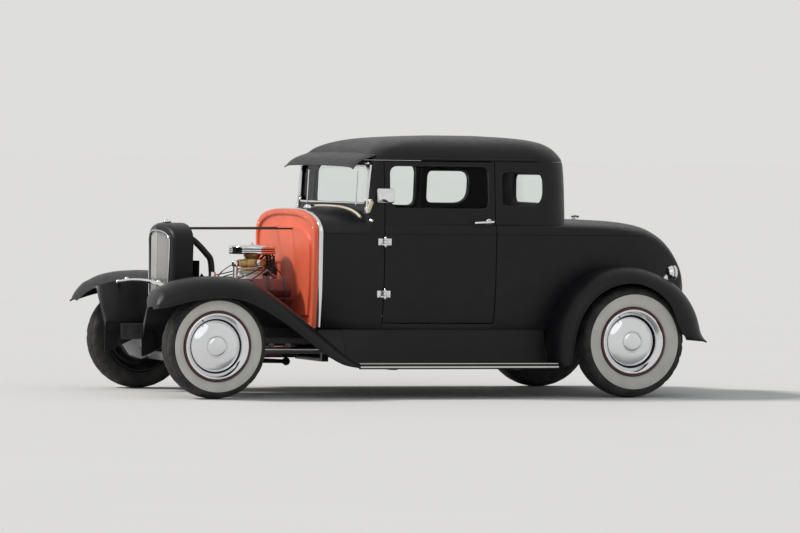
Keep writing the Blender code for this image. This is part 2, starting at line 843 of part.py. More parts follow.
def make_tail_lamps():
    reach = opening_radius * lamp_crown_share + lamp_stand
    turn = math.radians(lamp_turn)
    x = fender_half_width * 0.80
    y = rear_axle_y - opening_forward - reach * math.cos(turn)
    z = rear_tyre_radius + reach * math.sin(turn)
    for name, side in SIDES:
        lamp = turned([(0.0, lamp_length / 2), (lamp_radius * 0.7, lamp_length * 0.42), (lamp_radius, lamp_length * 0.22),
                       (lamp_radius, lamp_length * 0.05), (lamp_radius * 0.8, -lamp_length * 0.3),
                       (0.0, -lamp_length / 2)], (0, 1, 0), (side * x, y, z), SMALL_STEPS)
        foot = reach - lamp_stand * 2
        stem = tube([(side * x, y, z), (side * x, y + (foot - reach) * -math.cos(turn), z + (foot - reach) * math.sin(turn))],
                    lamp_stem_radius, 0)
        lamp = cut(join(lamp, stem), rear_fender_sheet(side, lamp_stand * 2, fit))
        place(soften(lamp), "tail_lamp_" + name, LAMP_RED)


# Running boards with their splash aprons, which follow the foot of the body
board_top = 0.206
board_depth = 0.030
board_lip = 0.014
apron_foot_half_width = body_half_width - 0.025
board_section_shares = (0.0, 0.16, 0.34, 0.62, 1.0)


def board_rear():
    """Where the board meets the foremost point of the rear fender."""
    reach = max(crown * math.cos(math.radians(turn)) for turn, _, _, _, crown, _ in rear_fender_shares)
    return rear_axle_y - opening_forward - opening_radius * reach - fit


def make_running_boards():
    front = front_axle_y + fender_rear_reach + fit
    outer = fender_half_width
    tray = board_top - board_depth / 2
    for name, side in SIDES:
        rings = []
        for share in board_section_shares:
            y = front + (board_rear() - front) * share
            top = tub_half_width(y) * tub_foot_share - wall / 2
            outline = [
                (outer, board_top - board_depth), (outer, board_top), (apron_foot_half_width + skin, board_top),
                (top + skin, body_low - fit), (top, body_low - fit), (apron_foot_half_width, tray),
                (outer - board_lip, tray), (outer - board_lip, board_top - board_depth),
            ]
            rings.append([(side * x, y, z) for x, z in outline])
        place(loft(rings), "running_board_" + name, SATIN_BLACK)


# Chassis: a ladder frame that draws in at the nose and kicks up over the rear axle
rail_outer = body_half_width * 0.5865
rail_width = 0.050
rail_depth = 0.095
rail_top = body_low - fit
frame_front_y = front_axle_y - 0.235
frame_rear_y = rear_axle_y + 0.330
nose_half_width = rail_outer * 0.846
member_width = 0.070
rear_kick = 0.130
kick_run = 0.300
hanger_width = 0.040
hanger_depth = 0.020
hanger_places_shares = (0.18, 0.80)
bar_radius = 0.012
gearbox_member_dip = 0.055


def rail_rings(side):
    # columns: place along the car, lift
    places = ((frame_front_y, 0.0), (firewall_y, 0.0), (rear_axle_y - kick_run * 2, 0.0),
              (rear_axle_y - kick_run, rear_kick), (rear_axle_y + kick_run / 2, rear_kick),
              (frame_rear_y, rear_kick))
    rings = []
    for y, lift in places:
        outer = rail_half_width(y)
        top = rail_top + lift
        corners = [(outer - rail_width, top - rail_depth), (outer, top - rail_depth), (outer, top),
                   (outer - rail_width, top)]
        rings.append([(side * x, y, z) for x, z in corners])
    return rings


def make_frame():
    frame = loft(rail_rings(1))
    frame = join(frame, loft(rail_rings(-1)))
    # columns: middle of the member along the car, lift
    for y, lift in ((front_axle_y, 0.0), (rear_axle_y, rear_kick), (frame_rear_y - member_width / 2, rear_kick)):
        half = rail_half_width(y) - rail_width / 2
        low = (-half, y - member_width / 2, rail_top - rail_depth / 2 + lift)
        high = (half, y + member_width / 2, rail_top + lift - skin)
        if y == front_axle_y:
            low = (-half, y - member_width / 2, rail_top - rail_depth)
            high = (half, y + member_width / 2, shell_low - fit)
        frame = join(frame, box(low, high))
    frame = join(frame, gearbox_member())
    front = front_axle_y + fender_rear_reach
    under = board_top - board_depth / 2 - fit
    for share in hanger_places_shares:
        y = front + (board_rear() - front) * share
        for name, side in SIDES:
            inner = rail_outer - rail_width + skin
            tip = fender_half_width - board_lip * 2
            outline = [(inner, rail_top - rail_depth + skin), (inner, under - hanger_depth),
                       (tip, under - hanger_depth), (tip, under), (rail_outer - skin, under),
                       (rail_outer - skin, rail_top - rail_depth + skin)]
            hanger = plate([[(side * x, z) for x, z in outline]], y - hanger_width / 2,
                           y + hanger_width / 2, "XZ")
            frame = join(frame, hanger)
    place(frame, "chassis_frame", FRAME_BLACK)


def gearbox_member():
    """A cross member that dips under the tail of the gearbox."""
    half = rail_outer - rail_width / 2
    seat = crank_z - gearbox_tail_radius - fit
    top = rail_top - skin
    outline = [(-half, top), (-half, top - rail_depth / 2), (-gearbox_radius, top - rail_depth / 2),
               (-gearbox_radius / 2, seat - gearbox_member_dip), (gearbox_radius / 2, seat - gearbox_member_dip),
               (gearbox_radius, top - rail_depth / 2), (half, top - rail_depth / 2), (half, top),
               (gearbox_radius, top), (gearbox_radius / 2, seat), (-gearbox_radius / 2, seat),
               (-gearbox_radius, top)]
    y = gearbox_tail_y - member_width
    return plate([outline], y - member_width / 2, y + member_width / 2, "XZ")


# Engine, gearbox and what is bolted to them
crank_z = 0.365
engine_front_y = front_axle_y + 0.200
engine_length = 0.440
engine_back_y = engine_front_y + engine_length
pan_half_width = 0.120
pan_drop = 0.140
skirt_half_width = 0.165
skirt_rise = 0.070
head_outer_x = 0.295
head_outer_rise = 0.205
head_top_x = 0.205
head_top_rise = 0.295
valley_rise = 0.215
mount_length = 0.034
mount_place_share = 0.31
mount_height = 0.040
cover_length_share = 0.94
cover_width = 0.100
cover_height = 0.065
gearbox_radius = 0.150
gearbox_tail_radius = 0.042
gearbox_length = 0.560
gearbox_tail_y = engine_back_y + gearbox_length
flange = 0.012
carburettor_y = front_axle_y + 0.4815
cleaner_radius = 0.145
cleaner_height = 0.055
cleaner_top = 0.885
carburettor_half = 0.055
carburettor_height = 0.090
intake_half_width = 0.095
intake_length_share = 0.70
distributor_radius = 0.038
distributor_top = 0.800
fan_y = front_axle_y + 0.120
fan_radius = 0.190
fan_blades = 6
fan_hub_radius = 0.045
fan_z = 0.600
blade_width = 0.060
blade_thickness = 0.004
pulley_radius = 0.075
pulley_width = 0.030


def offset_outline(points, amount):
    """An outline moved out by an amount square to each of its edges; it runs anticlockwise."""
    made = []
    count = len(points)
    for i in range(count):
        before, here, after = (Vector(points[k % count]) for k in (i - 1, i, i + 1))
        first = (here - before).normalized()
        second = (after - here).normalized()
        normal_a = Vector((first.y, -first.x))
        normal_b = Vector((second.y, -second.x))
        middle = (normal_a + normal_b).normalized()
        made.append(tuple(here + middle * amount / max(middle.dot(normal_a), 0.2)))
    return made


def block_outline():
    """Front view of the block and heads, from the pan up the driver's side and down the other."""
    half = [(pan_half_width, -pan_drop), (pan_half_width, -pan_drop / 4), (skirt_half_width, 0.0),
            (skirt_half_width, skirt_rise), (head_outer_x, head_outer_rise), (head_top_x, head_top_rise),
            (intake_half_width, valley_rise)]
    return [(x, crank_z + z) for x, z in half] + [(-x, crank_z + z) for x, z in reversed(half)]


def make_engine():
    block = plate([block_outline()], engine_front_y, engine_back_y, "XZ")
    mount_y = engine_front_y + engine_length * mount_place_share
    reach = rail_half_width(mount_y - mount_length / 2) - rail_width - fit
    mount = box((-reach, mount_y - mount_length / 2, rail_top - mount_height),
                (reach, mount_y + mount_length / 2, rail_top))
    block = join(block, mount)
    middle_y = (engine_front_y + engine_back_y) / 2
    length = engine_length * cover_length_share
    tilt = math.atan2(head_top_rise - head_outer_rise, head_outer_x - head_top_x)
    for name, side in SIDES:
        cover = box((-cover_width / 2, -length / 2, -flange), (cover_width / 2, length / 2, cover_height),
                    cover_height / 4)
        centre = Vector((side * (head_outer_x + head_top_x) / 2, middle_y,
                         crank_z + (head_outer_rise + head_top_rise) / 2))
        cover.matrix_world = Matrix.Translation(centre) @ Matrix.Rotation(side * tilt, 4, "Y")
        block = join(block, settled(cover))
    place(block, "engine_block", CAST_IRON)


def make_gearbox():
    bell = engine_back_y + fit
    profile = [(0.0, gearbox_length), (gearbox_tail_radius, gearbox_length),
               (gearbox_tail_radius, gearbox_length * 0.75), (gearbox_radius * 0.6, gearbox_length * 0.62),
               (gearbox_radius * 0.6, gearbox_length * 0.30), (gearbox_radius, gearbox_length * 0.22),
               (gearbox_radius, 0.0), (0.0, 0.0)]
    place(soften(turned(profile, (0, 1, 0), (0, bell, crank_z), WHEEL_STEPS // 2)), "gearbox", STEEL)


def make_intake():
    """Intake manifold in the valley with the carburettor standing on it."""
    valley = crank_z + valley_rise + fit
    length = engine_length * intake_length_share
    base_top = cleaner_top - cleaner_height - carburettor_height
    low_y = engine_back_y - (engine_length + length) / 2
    intake = box((-intake_half_width, low_y, valley), (intake_half_width, low_y + length, valley + flange * 3),
                 flange)
    riser = box((-carburettor_half, carburettor_y - carburettor_half, valley + flange),
                (carburettor_half, carburettor_y + carburettor_half, base_top))
    intake = join(intake, riser)
    bowl = box((-carburettor_half * 0.7, carburettor_y - carburettor_half * 1.3, base_top - flange),
               (carburettor_half * 0.7, carburettor_y + carburettor_half * 1.3,
                cleaner_top - cleaner_height - fit), flange)
    intake = join(intake, bowl)
    place(intake, "intake_carburettor", STEEL)


def make_air_cleaner():
    base = cleaner_top - cleaner_height
    lid = cleaner_height * 0.2
    profile = [(0.0, cleaner_height), (cleaner_radius * 0.8, cleaner_height - lid / 2),
               (cleaner_radius, cleaner_height - lid), (cleaner_radius * 0.94, cleaner_height - lid * 1.5),
               (cleaner_radius * 0.94, lid), (cleaner_radius, lid / 2), (cleaner_radius * 0.8, 0.0), (0.0, 0.0)]
    place(soften(turned(profile, (0, 0, 1), (0, carburettor_y, base), WHEEL_STEPS)), "air_cleaner", CHROME)


def make_distributor():
    foot = crank_z + valley_rise + fit
    height = distributor_top - foot
    slim = distributor_radius * 0.55
    profile = [(0.0, height), (distributor_radius * 0.5, height), (distributor_radius, height * 0.88),
               (distributor_radius, height * 0.60), (slim, height * 0.52), (slim, 0.0), (0.0, 0.0)]
    y = engine_back_y - distributor_radius - flange / 3
    place(soften(turned(profile, (0, 0, 1), (0, y, foot), SMALL_STEPS)), "distributor", RUBBER)


def make_fan():
    """Six pitched blades on a hub that carries the pulley and runs back to the block."""
    hub_length = engine_front_y - fit - fan_y
    profile = [(0.0, 0.0), (fan_hub_radius, 0.0), (fan_hub_radius, -flange), (pulley_radius, -flange * 2),
               (pulley_radius * 0.85, -flange * 2 - pulley_width / 2), (pulley_radius, -flange * 2 - pulley_width),
               (fan_hub_radius * 0.8, -flange * 3 - pulley_width), (fan_hub_radius * 0.8, -hub_length),
               (0.0, -hub_length)]
    fan = turned(profile, (0, -1, 0), (0, fan_y, fan_z), SMALL_STEPS)
    for k in range(fan_blades):
        blade = box((fan_hub_radius * 0.5, -blade_thickness / 2, -blade_width / 2),
                    (fan_radius, blade_thickness / 2, blade_width / 2))
        spread = Matrix.Rotation(math.tau * (k + 0.5) / fan_blades, 4, "Y")
        pitch = Matrix.Rotation(math.radians(28), 4, "X")
        blade.matrix_world = Matrix.Translation((0, fan_y + flange / 2, fan_z)) @ spread @ pitch
        fan = join(fan, settled(blade))
    place(fan, "fan_pulleys", STEEL)


header_radius = 0.019
pipe_radius = 0.027
header_ports_shares = (0.14, 0.38, 0.62, 0.86)
port_drop = 0.045
header_bow = 0.040
collector_x = 0.235
pipe_z = 0.272
pipe_end_y = rear_axle_y - 0.520


def make_headers():
    """Four tubes from each head that gather into a pipe under the floor."""
    port_z = crank_z + head_outer_rise - port_drop
    for name, side in SIDES:
        start = engine_front_y + engine_length * header_ports_shares[0]
        route = [(collector_x, start, pipe_z), (collector_x, engine_back_y, pipe_z),
                 (collector_x, pipe_end_y, pipe_z)]
        pipe = tube(mirrored(route, side), pipe_radius)
        port_x = head_outer_x - port_drop * (head_outer_x - skirt_half_width) / (head_outer_rise - skirt_rise)
        for share in header_ports_shares:
            y = engine_front_y + engine_length * share
            points = [(port_x, y, port_z), (port_x + header_bow, y, port_z - header_bow / 4),
                      (port_x + header_bow * 0.9, y, port_z - header_bow * 1.6),
                      (collector_x + header_bow * 0.5, y + header_bow, pipe_z + pipe_radius * 2),
                      (collector_x, y + header_bow * 1.5, pipe_z)]
            pipe = join(pipe, tube(mirrored(points, side), header_radius))
        clear = plate([offset_outline(block_outline(), fit)], engine_front_y - flange, engine_back_y + flange, "XZ")
        place(soften(cut(pipe, clear)), "header_pipe_" + name, STEEL)


# Front axle, spring, radius rods, knuckles and tie rod
kingpin_x = front_track / 2 - 0.120
beam_drop = 0.095
beam_depth = 0.050
beam_width = 0.036
boss_radius = 0.024
boss_height = 0.060
ear_height = 0.024
yoke_gap = 0.0008
yoke_thickness = 0.016
steering_arm_reach = 0.150
steering_arm_thickness = 0.012
steering_arm_drop = 0.012
tie_rod_radius = 0.011
spring_half_length = kingpin_x - 0.190
spring_leaf = 0.008
spring_leaves = 4
spring_width = 0.045
spring_sag = 0.030
backing_radius = 0.130
backing_thickness = 0.045
backing_setback = 0.030
spindle_radius = 0.024
rod_radius = 0.013
rod_axle_x = kingpin_x - 0.170
ball_radius = 0.026


def make_front_axle():
    mid = front_tyre_radius
    low = mid - beam_drop
    inner = kingpin_x - boss_radius * 3.2
    route = [(inner * 0.88, low), (inner, mid - beam_drop * 0.45), (kingpin_x - boss_radius * 1.4, mid),
             (kingpin_x - boss_radius / 2, mid)]
    route = [(-x, z) for x, z in reversed(route)] + route
    edge_low = [(x, z - beam_depth / 2) for x, z in route]
    edge_high = [(x, z + beam_depth / 2) for x, z in route]
    axle = plate([edge_low + edge_high[::-1]], front_axle_y - beam_width / 2, front_axle_y + beam_width / 2, "XZ")
    for name, side in SIDES:
        boss = turned([(0.0, boss_height / 2), (boss_radius, boss_height / 2), (boss_radius, -boss_height / 2),
                       (0.0, -boss_height / 2)], (0, 0, 1), (side * kingpin_x, front_axle_y, mid), SMALL_STEPS)
        axle = join(axle, boss)
        x = side * (spring_half_length - spring_width / 2)
        perch = box((x - beam_width / 2, front_axle_y - beam_width / 2 + skin, low),
                    (x + beam_width / 2, front_axle_y + beam_width / 2 - skin, spring_end_under() - fit))
        axle = join(axle, perch)
    place(axle, "front_axle", STEEL)


def spring_end_under():
    return rail_top - rail_depth - fit - spring_sag - spring_leaf


def make_springs():
    """Crosswise leaf springs, arched, with shorter leaves clamped under the main one."""
    # columns: name, place along the car, top of the clamp
    for name, y, top in (("front_spring", front_axle_y, rail_top - rail_depth - fit),):
        upper = []
        steps = 8
        for k in range(steps + 1):
            t = 2 * k / steps - 1
            upper.append((t * spring_half_length, top - spring_sag * t * t))
        lower = []
        for leaf in range(spring_leaves):
            reach = 1 - leaf / spring_leaves
            depth = spring_leaf * (leaf + 1)
            lower.append((reach, depth))
            nearer = 1 - (leaf + 1) / spring_leaves if leaf < spring_leaves - 1 else None
            if nearer is not None:
                lower.append((nearer, depth))
        right = [(reach * spring_half_length, top - spring_sag * reach * reach - depth) for reach, depth in lower]
        left = [(-x, z) for x, z in reversed(right)]
        place(plate([upper + right + left], y - spring_width / 2, y + spring_width / 2, "XZ"), name, STEEL)


def make_knuckles():
    """Yoked steering knuckles with their spindles, backing plates and steering arms."""
    mid = front_tyre_radius
    hub_face = front_track / 2 + front_tyre_width / 2 * rim_width_share * wheel_offset_share - hub_depth
    for name, side in SIDES:
        yoke_in = kingpin_x + boss_radius + yoke_gap * 2
        yoke_out = yoke_in + yoke_thickness
        ear_low = mid - boss_height / 2 - yoke_gap
        ear_high = mid + boss_height / 2 + yoke_gap
        web = box((min(side * yoke_in, side * yoke_out), front_axle_y - boss_radius, ear_low - ear_height),
                  (max(side * yoke_in, side * yoke_out), front_axle_y + boss_radius, ear_high + ear_height))
        knuckle = web
        for bottom, top in ((ear_low - ear_height, ear_low), (ear_high, ear_high + ear_height)):
            outer = yoke_out - yoke_thickness / 2
            ear = box((min(side * kingpin_x, side * outer), front_axle_y - boss_radius * 0.8, bottom),
                      (max(side * kingpin_x, side * outer), front_axle_y + boss_radius * 0.8, top))
            pin = turned([(0.0, top - bottom), (boss_radius, top - bottom), (boss_radius, 0.0), (0.0, 0.0)],
                         (0, 0, 1), (side * kingpin_x, front_axle_y, bottom), SMALL_STEPS)
            ear = join(ear, pin)
            knuckle = join(knuckle, ear)
        length = hub_face - fit - yoke_out
        back = hub_face - fit - backing_setback - backing_thickness - yoke_out
        profile = [(0.0, length), (spindle_radius, length), (spindle_radius, back + backing_thickness),
                   (backing_radius * 0.9, back + backing_thickness), (backing_radius, back),
                   (spindle_radius * 1.4, back), (spindle_radius * 1.4, -yoke_thickness / 2), (0.0, -yoke_thickness / 2)]
        spindle = turned(profile, (side, 0, 0), (side * yoke_out, front_axle_y, mid), WHEEL_STEPS // 2)
        knuckle = join(knuckle, spindle)
        arm_x = kingpin_x
        arm_top = ear_low - steering_arm_drop / 4
        arm = plate([[(side * (kingpin_x + boss_radius / 2), front_axle_y), (side * (arm_x + boss_radius / 2),
                      front_axle_y + steering_arm_reach + boss_radius / 2),
                      (side * (arm_x - boss_radius / 2), front_axle_y + steering_arm_reach + boss_radius / 2),
                      (side * (kingpin_x - boss_radius / 2), front_axle_y)][::side]],
                    arm_top - steering_arm_thickness, arm_top, "XY")
        knuckle = join(knuckle, arm)
        place(knuckle, "knuckle_" + name, STEEL, (side * kingpin_x, front_axle_y, mid))


def make_tie_rod():
    mid = front_tyre_radius
    arm_under = mid - boss_height / 2 - yoke_gap - steering_arm_drop / 4 - steering_arm_thickness - fit
    x = kingpin_x
    y = front_axle_y + steering_arm_reach
    z = arm_under - tie_rod_radius - boss_height / 8
    rod = tube([(-x, y, z), (x, y, z)], tie_rod_radius, 2)
    for name, side in SIDES:
        end = turned([(0.0, boss_height / 8 + tie_rod_radius), (boss_radius * 0.7, boss_height / 8 + tie_rod_radius),
                      (boss_radius * 0.7, -tie_rod_radius * 1.3), (0.0, -tie_rod_radius * 1.3)], (0, 0, 1),
                     (side * x, y, z), SMALL_STEPS)
        rod = join(rod, end)
    place(rod, "tie_rod", STEEL, (x, y, z))


def make_wishbone():
    """Two rods from the axle that meet in a ball under the bell housing."""
    low = front_tyre_radius - beam_drop
    y_axle = front_axle_y + beam_width / 2 + fit
    y_ball = engine_back_y + gearbox_length * 0.12
    z_ball = crank_z - gearbox_radius - fit * 2 - ball_radius
    ball = turned([(0.0, ball_radius), (ball_radius * 0.7, ball_radius * 0.7), (ball_radius, 0.0),
                   (ball_radius * 0.7, -ball_radius * 0.7), (0.0, -ball_radius)], (0, 0, 1),
                  (0, y_ball, z_ball), SMALL_STEPS)
    for name, side in SIDES:
        route = [(rod_axle_x, y_axle, low), (rod_axle_x, y_axle + rod_radius, low), (ball_radius * 0.4, y_ball - ball_radius * 0.3, z_ball)]
        ball = join(ball, tube(mirrored(route, side), rod_radius, 1))
    place(ball, "wishbone", STEEL)


# Rear axle with its torque tube
banjo_radius = 0.120
banjo_half_width = 0.110
axle_tube_radius = 0.036
torque_tube_radius = 0.036


def make_rear_axle():
    mid = rear_tyre_radius
    hub_face = rear_track / 2 + rear_tyre_width / 2 * rim_width_share * wheel_offset_share - hub_depth
    end = hub_face - fit
    back = end - backing_setback
    half = [(0.0, end), (spindle_radius, end), (spindle_radius, back), (backing_radius, back),
            (backing_radius, back - backing_thickness), (axle_tube_radius, back - backing_thickness),
            (axle_tube_radius, banjo_half_width), (banjo_radius * 0.8, banjo_half_width / 2)]
    profile = half + [(banjo_radius, 0.0)] + [(r, -a) for r, a in reversed(half)]
    axle = turned(profile, (1, 0, 0), (0, rear_axle_y, mid), WHEEL_STEPS // 2)
    front = gearbox_tail_y + fit * 2
    drive = tube([(0, front, crank_z), (0, front + torque_tube_radius, crank_z), (0, rear_axle_y, mid)],
                 torque_tube_radius, 2)
    place(soften(join(axle, drive)), "rear_axle", CAST_IRON)
    # the spring runs over the axle and meets it at its ends
    top = rail_top + rear_kick - rail_depth / 2 - fit
    foot = mid + axle_tube_radius
    points = [(-spring_half_length, foot + spring_leaf * 2), (0.0, top - spring_leaf / 2),
              (spring_half_length, foot + spring_leaf * 2)]
    upper = []
    steps = 8
    for k in range(steps + 1):
        t = 2 * k / steps - 1
        upper.append((t * spring_half_length, top - (top - foot - spring_leaf * 4) * t * t))
    lower = [(x * 0.98, z - spring_leaf * 3) for x, z in reversed(upper)]
    spring = plate([upper + lower], rear_axle_y - spring_width / 2, rear_axle_y + spring_width / 2, "XZ")
    place(spring, "rear_spring", STEEL)


# Radiator, grille shell and grille
shell_half_width = 0.238
shell_foot_half_width = 0.205
shell_low = 0.350
shell_shoulder = 0.900
shell_top = 1.015
shell_front_y = front_axle_y - 0.095
shell_depth = 0.125
grille_peak = 0.030
shell_wall = 0.005
shell_roll = 0.028
shell_roll_depth = 0.022
shell_lip = 0.020
shell_arch_steps = 8
arch_power = 0.85
insert_setback = 0.006
insert_thickness = 0.010
bar_count = 21
bar_share = 0.55
insert_rim = 0.014
core_thickness = 0.055
core_gap = 0.030
tank_height = 0.110
neck_radius = 0.020
neck_length = 0.030
cap_height = 0.014
cap_place_share = 0.54
stay_radius = 0.006
stay_drop = 0.034
hose_radius = 0.019


def shell_outline(inset):
    """Front view of the grille shell as (x, z), from its left foot over the top to the right."""
    half = shell_half_width - inset
    points = [(shell_foot_half_width - inset, shell_low + inset)]
    for k in range(shell_arch_steps + 1):
        angle = math.pi * k / shell_arch_steps
        x = math.copysign(abs(math.cos(angle)) ** arch_power, math.cos(angle)) * half
        z = shell_shoulder + (shell_top - inset - shell_shoulder) * math.sin(angle) ** arch_power
        points.append((x, z))
    return points + [(-shell_foot_half_width + inset, shell_low + inset)]


def peaked(x, peak):
    """How far the grille stands ahead of its edges at a place across it."""
    return peak * (1 - abs(x) / shell_half_width)


def outline_ring(points, y, peak):
    return [(x, y - peaked(x, peak), z) for x, z in points]


def make_grille_shell():
    """A deep pressed shell, rolled in at the front to a lip round the opening."""
    # columns: inset from the outline, place behind the front, peak at the middle
    outer = ((0.0, shell_depth, 0.0), (0.0, shell_roll_depth, 0.0),
             (shell_roll * 0.3, shell_roll_depth * 0.3, grille_peak / 2),
             (shell_roll, 0.0, grille_peak), (shell_roll + shell_lip, 0.0, grille_peak))
    inner = ((shell_roll + shell_lip, shell_wall, grille_peak), (shell_roll, shell_wall, grille_peak),
             (shell_wall, shell_roll_depth + shell_wall, 0.0), (shell_wall, shell_depth, 0.0))
    rings = []
    for inset, back, peak in outer + inner:
        points = shell_outline(inset) + [(0.0, shell_low + inset)]
        rings.append(outline_ring(points, shell_front_y + back, peak))
    cap = turned([(0.0, cap_height), (neck_radius * 0.8, cap_height), (neck_radius * 1.25, cap_height * 0.6),
                  (neck_radius * 1.25, 0.0), (neck_radius * 0.8, -shell_wall), (0.0, -shell_wall)], (0, 0, 1),
                 (0, shell_front_y + shell_depth * cap_place_share, shell_top), SMALL_STEPS)
    shape = bmesh.new()
    loops = [[shape.verts.new(point) for point in ring] for ring in rings]
    count = len(rings[0])
    for near, far in zip(loops, loops[1:] + loops[:1]):
        for i in range(count):
            j = (i + 1) % count
            shape.faces.new((near[i], near[j], far[j], far[i]))
    bmesh.ops.recalc_face_normals(shape, faces=shape.faces)
    shell = join(from_bmesh(shape), cap)
    place(soften(shell), "grille_shell", SATIN_BLACK)


def arch_height(x, inset):
    """Height of the shell's arch at a place across it."""
    half = shell_half_width - inset
    angle = math.acos(min(abs(x) / half, 1.0) ** (1 / arch_power))
    return shell_shoulder + (shell_top - inset - shell_shoulder) * math.sin(angle) ** arch_power


def make_grille():
    """Upright bars cut from one panel that fits behind the lip of the shell."""
    inset = shell_roll + shell_wall
    panel = shell_outline(inset)
    opening_half = shell_foot_half_width - inset - insert_rim
    pitch = opening_half * 2 / bar_count
    middle = (shell_low + shell_shoulder) / 2
    slots = []
    for k in range(bar_count):
        x = -opening_half + pitch * (k + 0.5)
        half = pitch * (1 - bar_share) / 2
        top = min(arch_height(x - half, inset), arch_height(x + half, inset)) - insert_rim
        for low, high in ((shell_low + inset + insert_rim, middle - insert_rim / 2), (middle + insert_rim / 2, top)):
            slots.append(rectangle(x - half, x + half, low, high))
    near = shell_front_y + shell_wall + fit
    insert = plate([panel] + slots, near, near + insert_thickness, "XZ")
    shape = bmesh.new()
    shape.from_mesh(insert.data)
    bmesh.ops.bisect_plane(shape, geom=shape.verts[:] + shape.edges[:] + shape.faces[:],
                           plane_co=(0, 0, 0), plane_no=(1, 0, 0))
    for vertex in shape.verts:
        vertex.co.y -= peaked(vertex.co.x, grille_peak)
    shape.to_mesh(insert.data)
    shape.free()
    place(insert, "grille_insert", CHROME)


def make_radiator():
    """Core and top tank inside the shell, with the filler neck, cap and stays to the firewall."""
    near = shell_front_y + core_gap
    inset = shell_wall + fit
    core = plate([shell_outline(inset)], near, near + core_thickness, "XZ")
    tank = box((-shell_foot_half_width * 0.7, near + core_thickness / 2, shell_top - inset - tank_height * 1.4),
               (shell_foot_half_width * 0.7, near + core_thickness * 1.9, shell_top - inset - tank_height * 0.4),
               core_thickness * 0.2)
    core = join(core, tank)
    stay_x = shell_foot_half_width * 0.5
    stay_z = shell_top - stay_drop
    for name, side in SIDES:
        route = [(stay_x, near + core_thickness * 0.4, stay_z),
                 (stay_x * 1.3, firewall_y - panel_thickness - panel_step - fit * 2, stay_z + stay_radius)]
        core = join(core, tube(mirrored(route, side), stay_radius, 0))
    place(core, "radiator", STEEL)


def make_hose():
    """The upper hose, from the tank over the fan and down to the engine."""
    top = shell_top - shell_wall - tank_height
    outlet_y = shell_front_y + core_gap + core_thickness * 1.9 + fit
    drop_y = engine_front_y + hose_radius * 1.6
    foot = crank_z + valley_rise + fit
    route = [(0.0, outlet_y, top + hose_radius), (0.0, outlet_y + hose_radius * 2.5, top + hose_radius),
             (0.0, outlet_y + hose_radius * 4.4, top), (0.0, drop_y - hose_radius * 2.2, top - hose_radius * 3.4),
             (0.0, drop_y - hose_radius * 0.5, top - hose_radius * 6.0), (0.0, drop_y, foot + hose_radius * 4.0),
             (0.0, drop_y, foot)]
    place(tube(route, hose_radius, 1), "radiator_hose", RUBBER)


# Firewall, cowl band and filler cap
panel_thickness = 0.012
panel_lip_depth = 0.026
panel_lip = 0.030
panel_step = 0.014
panel_step_inset = 0.085
band_width = 0.022
band_thickness = 0.004
filler_radius = 0.034
filler_height = 0.020
filler_back = 0.130


def make_firewall():
    """A dished pressing with a raised border and a stepped middle."""
    row = tub_section_shares[0]
    back = firewall_y - fit
    # columns: inset from the cowl's outline, place ahead of the cowl
    steps = ((0.0, 0.0), (0.0, panel_lip_depth), (panel_lip, panel_lip_depth), (panel_lip + skin, panel_thickness),
             (panel_step_inset, panel_thickness), (panel_step_inset + skin, panel_thickness + panel_step))
    rings = [tub_ring(row, inset, -inset * 0.8, back - ahead) for inset, ahead in steps]
    place(cut(loft(rings), tunnel(tunnel_gap)), "firewall", CORAL)


def make_cowl_trim():
    """A bright band over the front edge of the cowl, and the filler cap on its top."""
    row = tub_section_shares[0]
    far_row = tub_section_shares[1]
    share = band_width / (body_length * (far_row[0] - row[0]))
    far = tuple(a + (b - a) * share for a, b in zip(row, far_row))
    out = fit + band_thickness
    band = loft([tub_ring(row, -out, -skin, firewall_y + fit), tub_ring(far, -out, -skin, firewall_y + band_width)])
    place(soften(cut(band, tub_solid(-fit))), "cowl_band", CHROME)
    y = firewall_y + filler_back
    cap = turned([(0.0, filler_height), (filler_radius * 0.7, filler_height), (filler_radius, filler_height * 0.6),
                  (filler_radius, -filler_height / 2), (0.0, -filler_height / 2)], (0, 0, 1),
                 (0, y, tub_top_z(y)), SMALL_STEPS)
    place(soften(cut(cap, tub_solid(-fit))), "filler_cap", CHROME)


# Visor over the windshield
visor_reach = 0.085
visor_low = cab_z(0.591)
visor_top = cab_z(0.772)
visor_half_width = body_half_width * 0.887
visor_thickness = 0.006
visor_back = 0.060


def make_visor():
    """A curved metal visor that hangs from the front of the roof."""
    rows = []
    # columns: share of the way across, drop at the ends
    for across, drop in ((-1.0, 1.0), (-0.92, 0.45), (-0.6, 0.12), (0.0, 0.0), (0.6, 0.12), (0.92, 0.45), (1.0, 1.0)):
        x = across * visor_half_width
        sag = drop * visor_thickness * 3
        rows.append([(x, cab_front_y - visor_reach, visor_low - sag),
                     (x, cab_front_y - visor_reach * 0.45, visor_low + (visor_top - visor_low) * 0.55 - sag),
                     (x, cab_front_y + visor_back, visor_top - sag)])
    visor = sheet(rows, False, visor_thickness)
    place(soften(cut(visor, body_solid(-fit))), "visor", SATIN_BLACK)


# Cabin: floor, seat, dashboard and steering
floor_thickness = 0.025
floor_clearance = 0.001
tunnel_gap = 0.012
seat_front_y = cab_front_y + 0.640
seat_depth = 0.440
seat_half_width = body_half_width * 0.812
riser_height = 0.080
cushion_height = 0.150
seat_back_height = 0.480
seat_back_thickness = 0.130
seat_back_lean = 0.100
dash_thickness = 0.030
dash_height = 0.130
steering_x = body_half_width * 0.496
steering_wheel_radius = 0.190
steering_grip = 0.012
grip_steps = 16
spoke_count = 3
steering_z = body_top * 0.893
steering_y = cab_front_y + 0.300
column_radius = 0.018
column_rake = 26


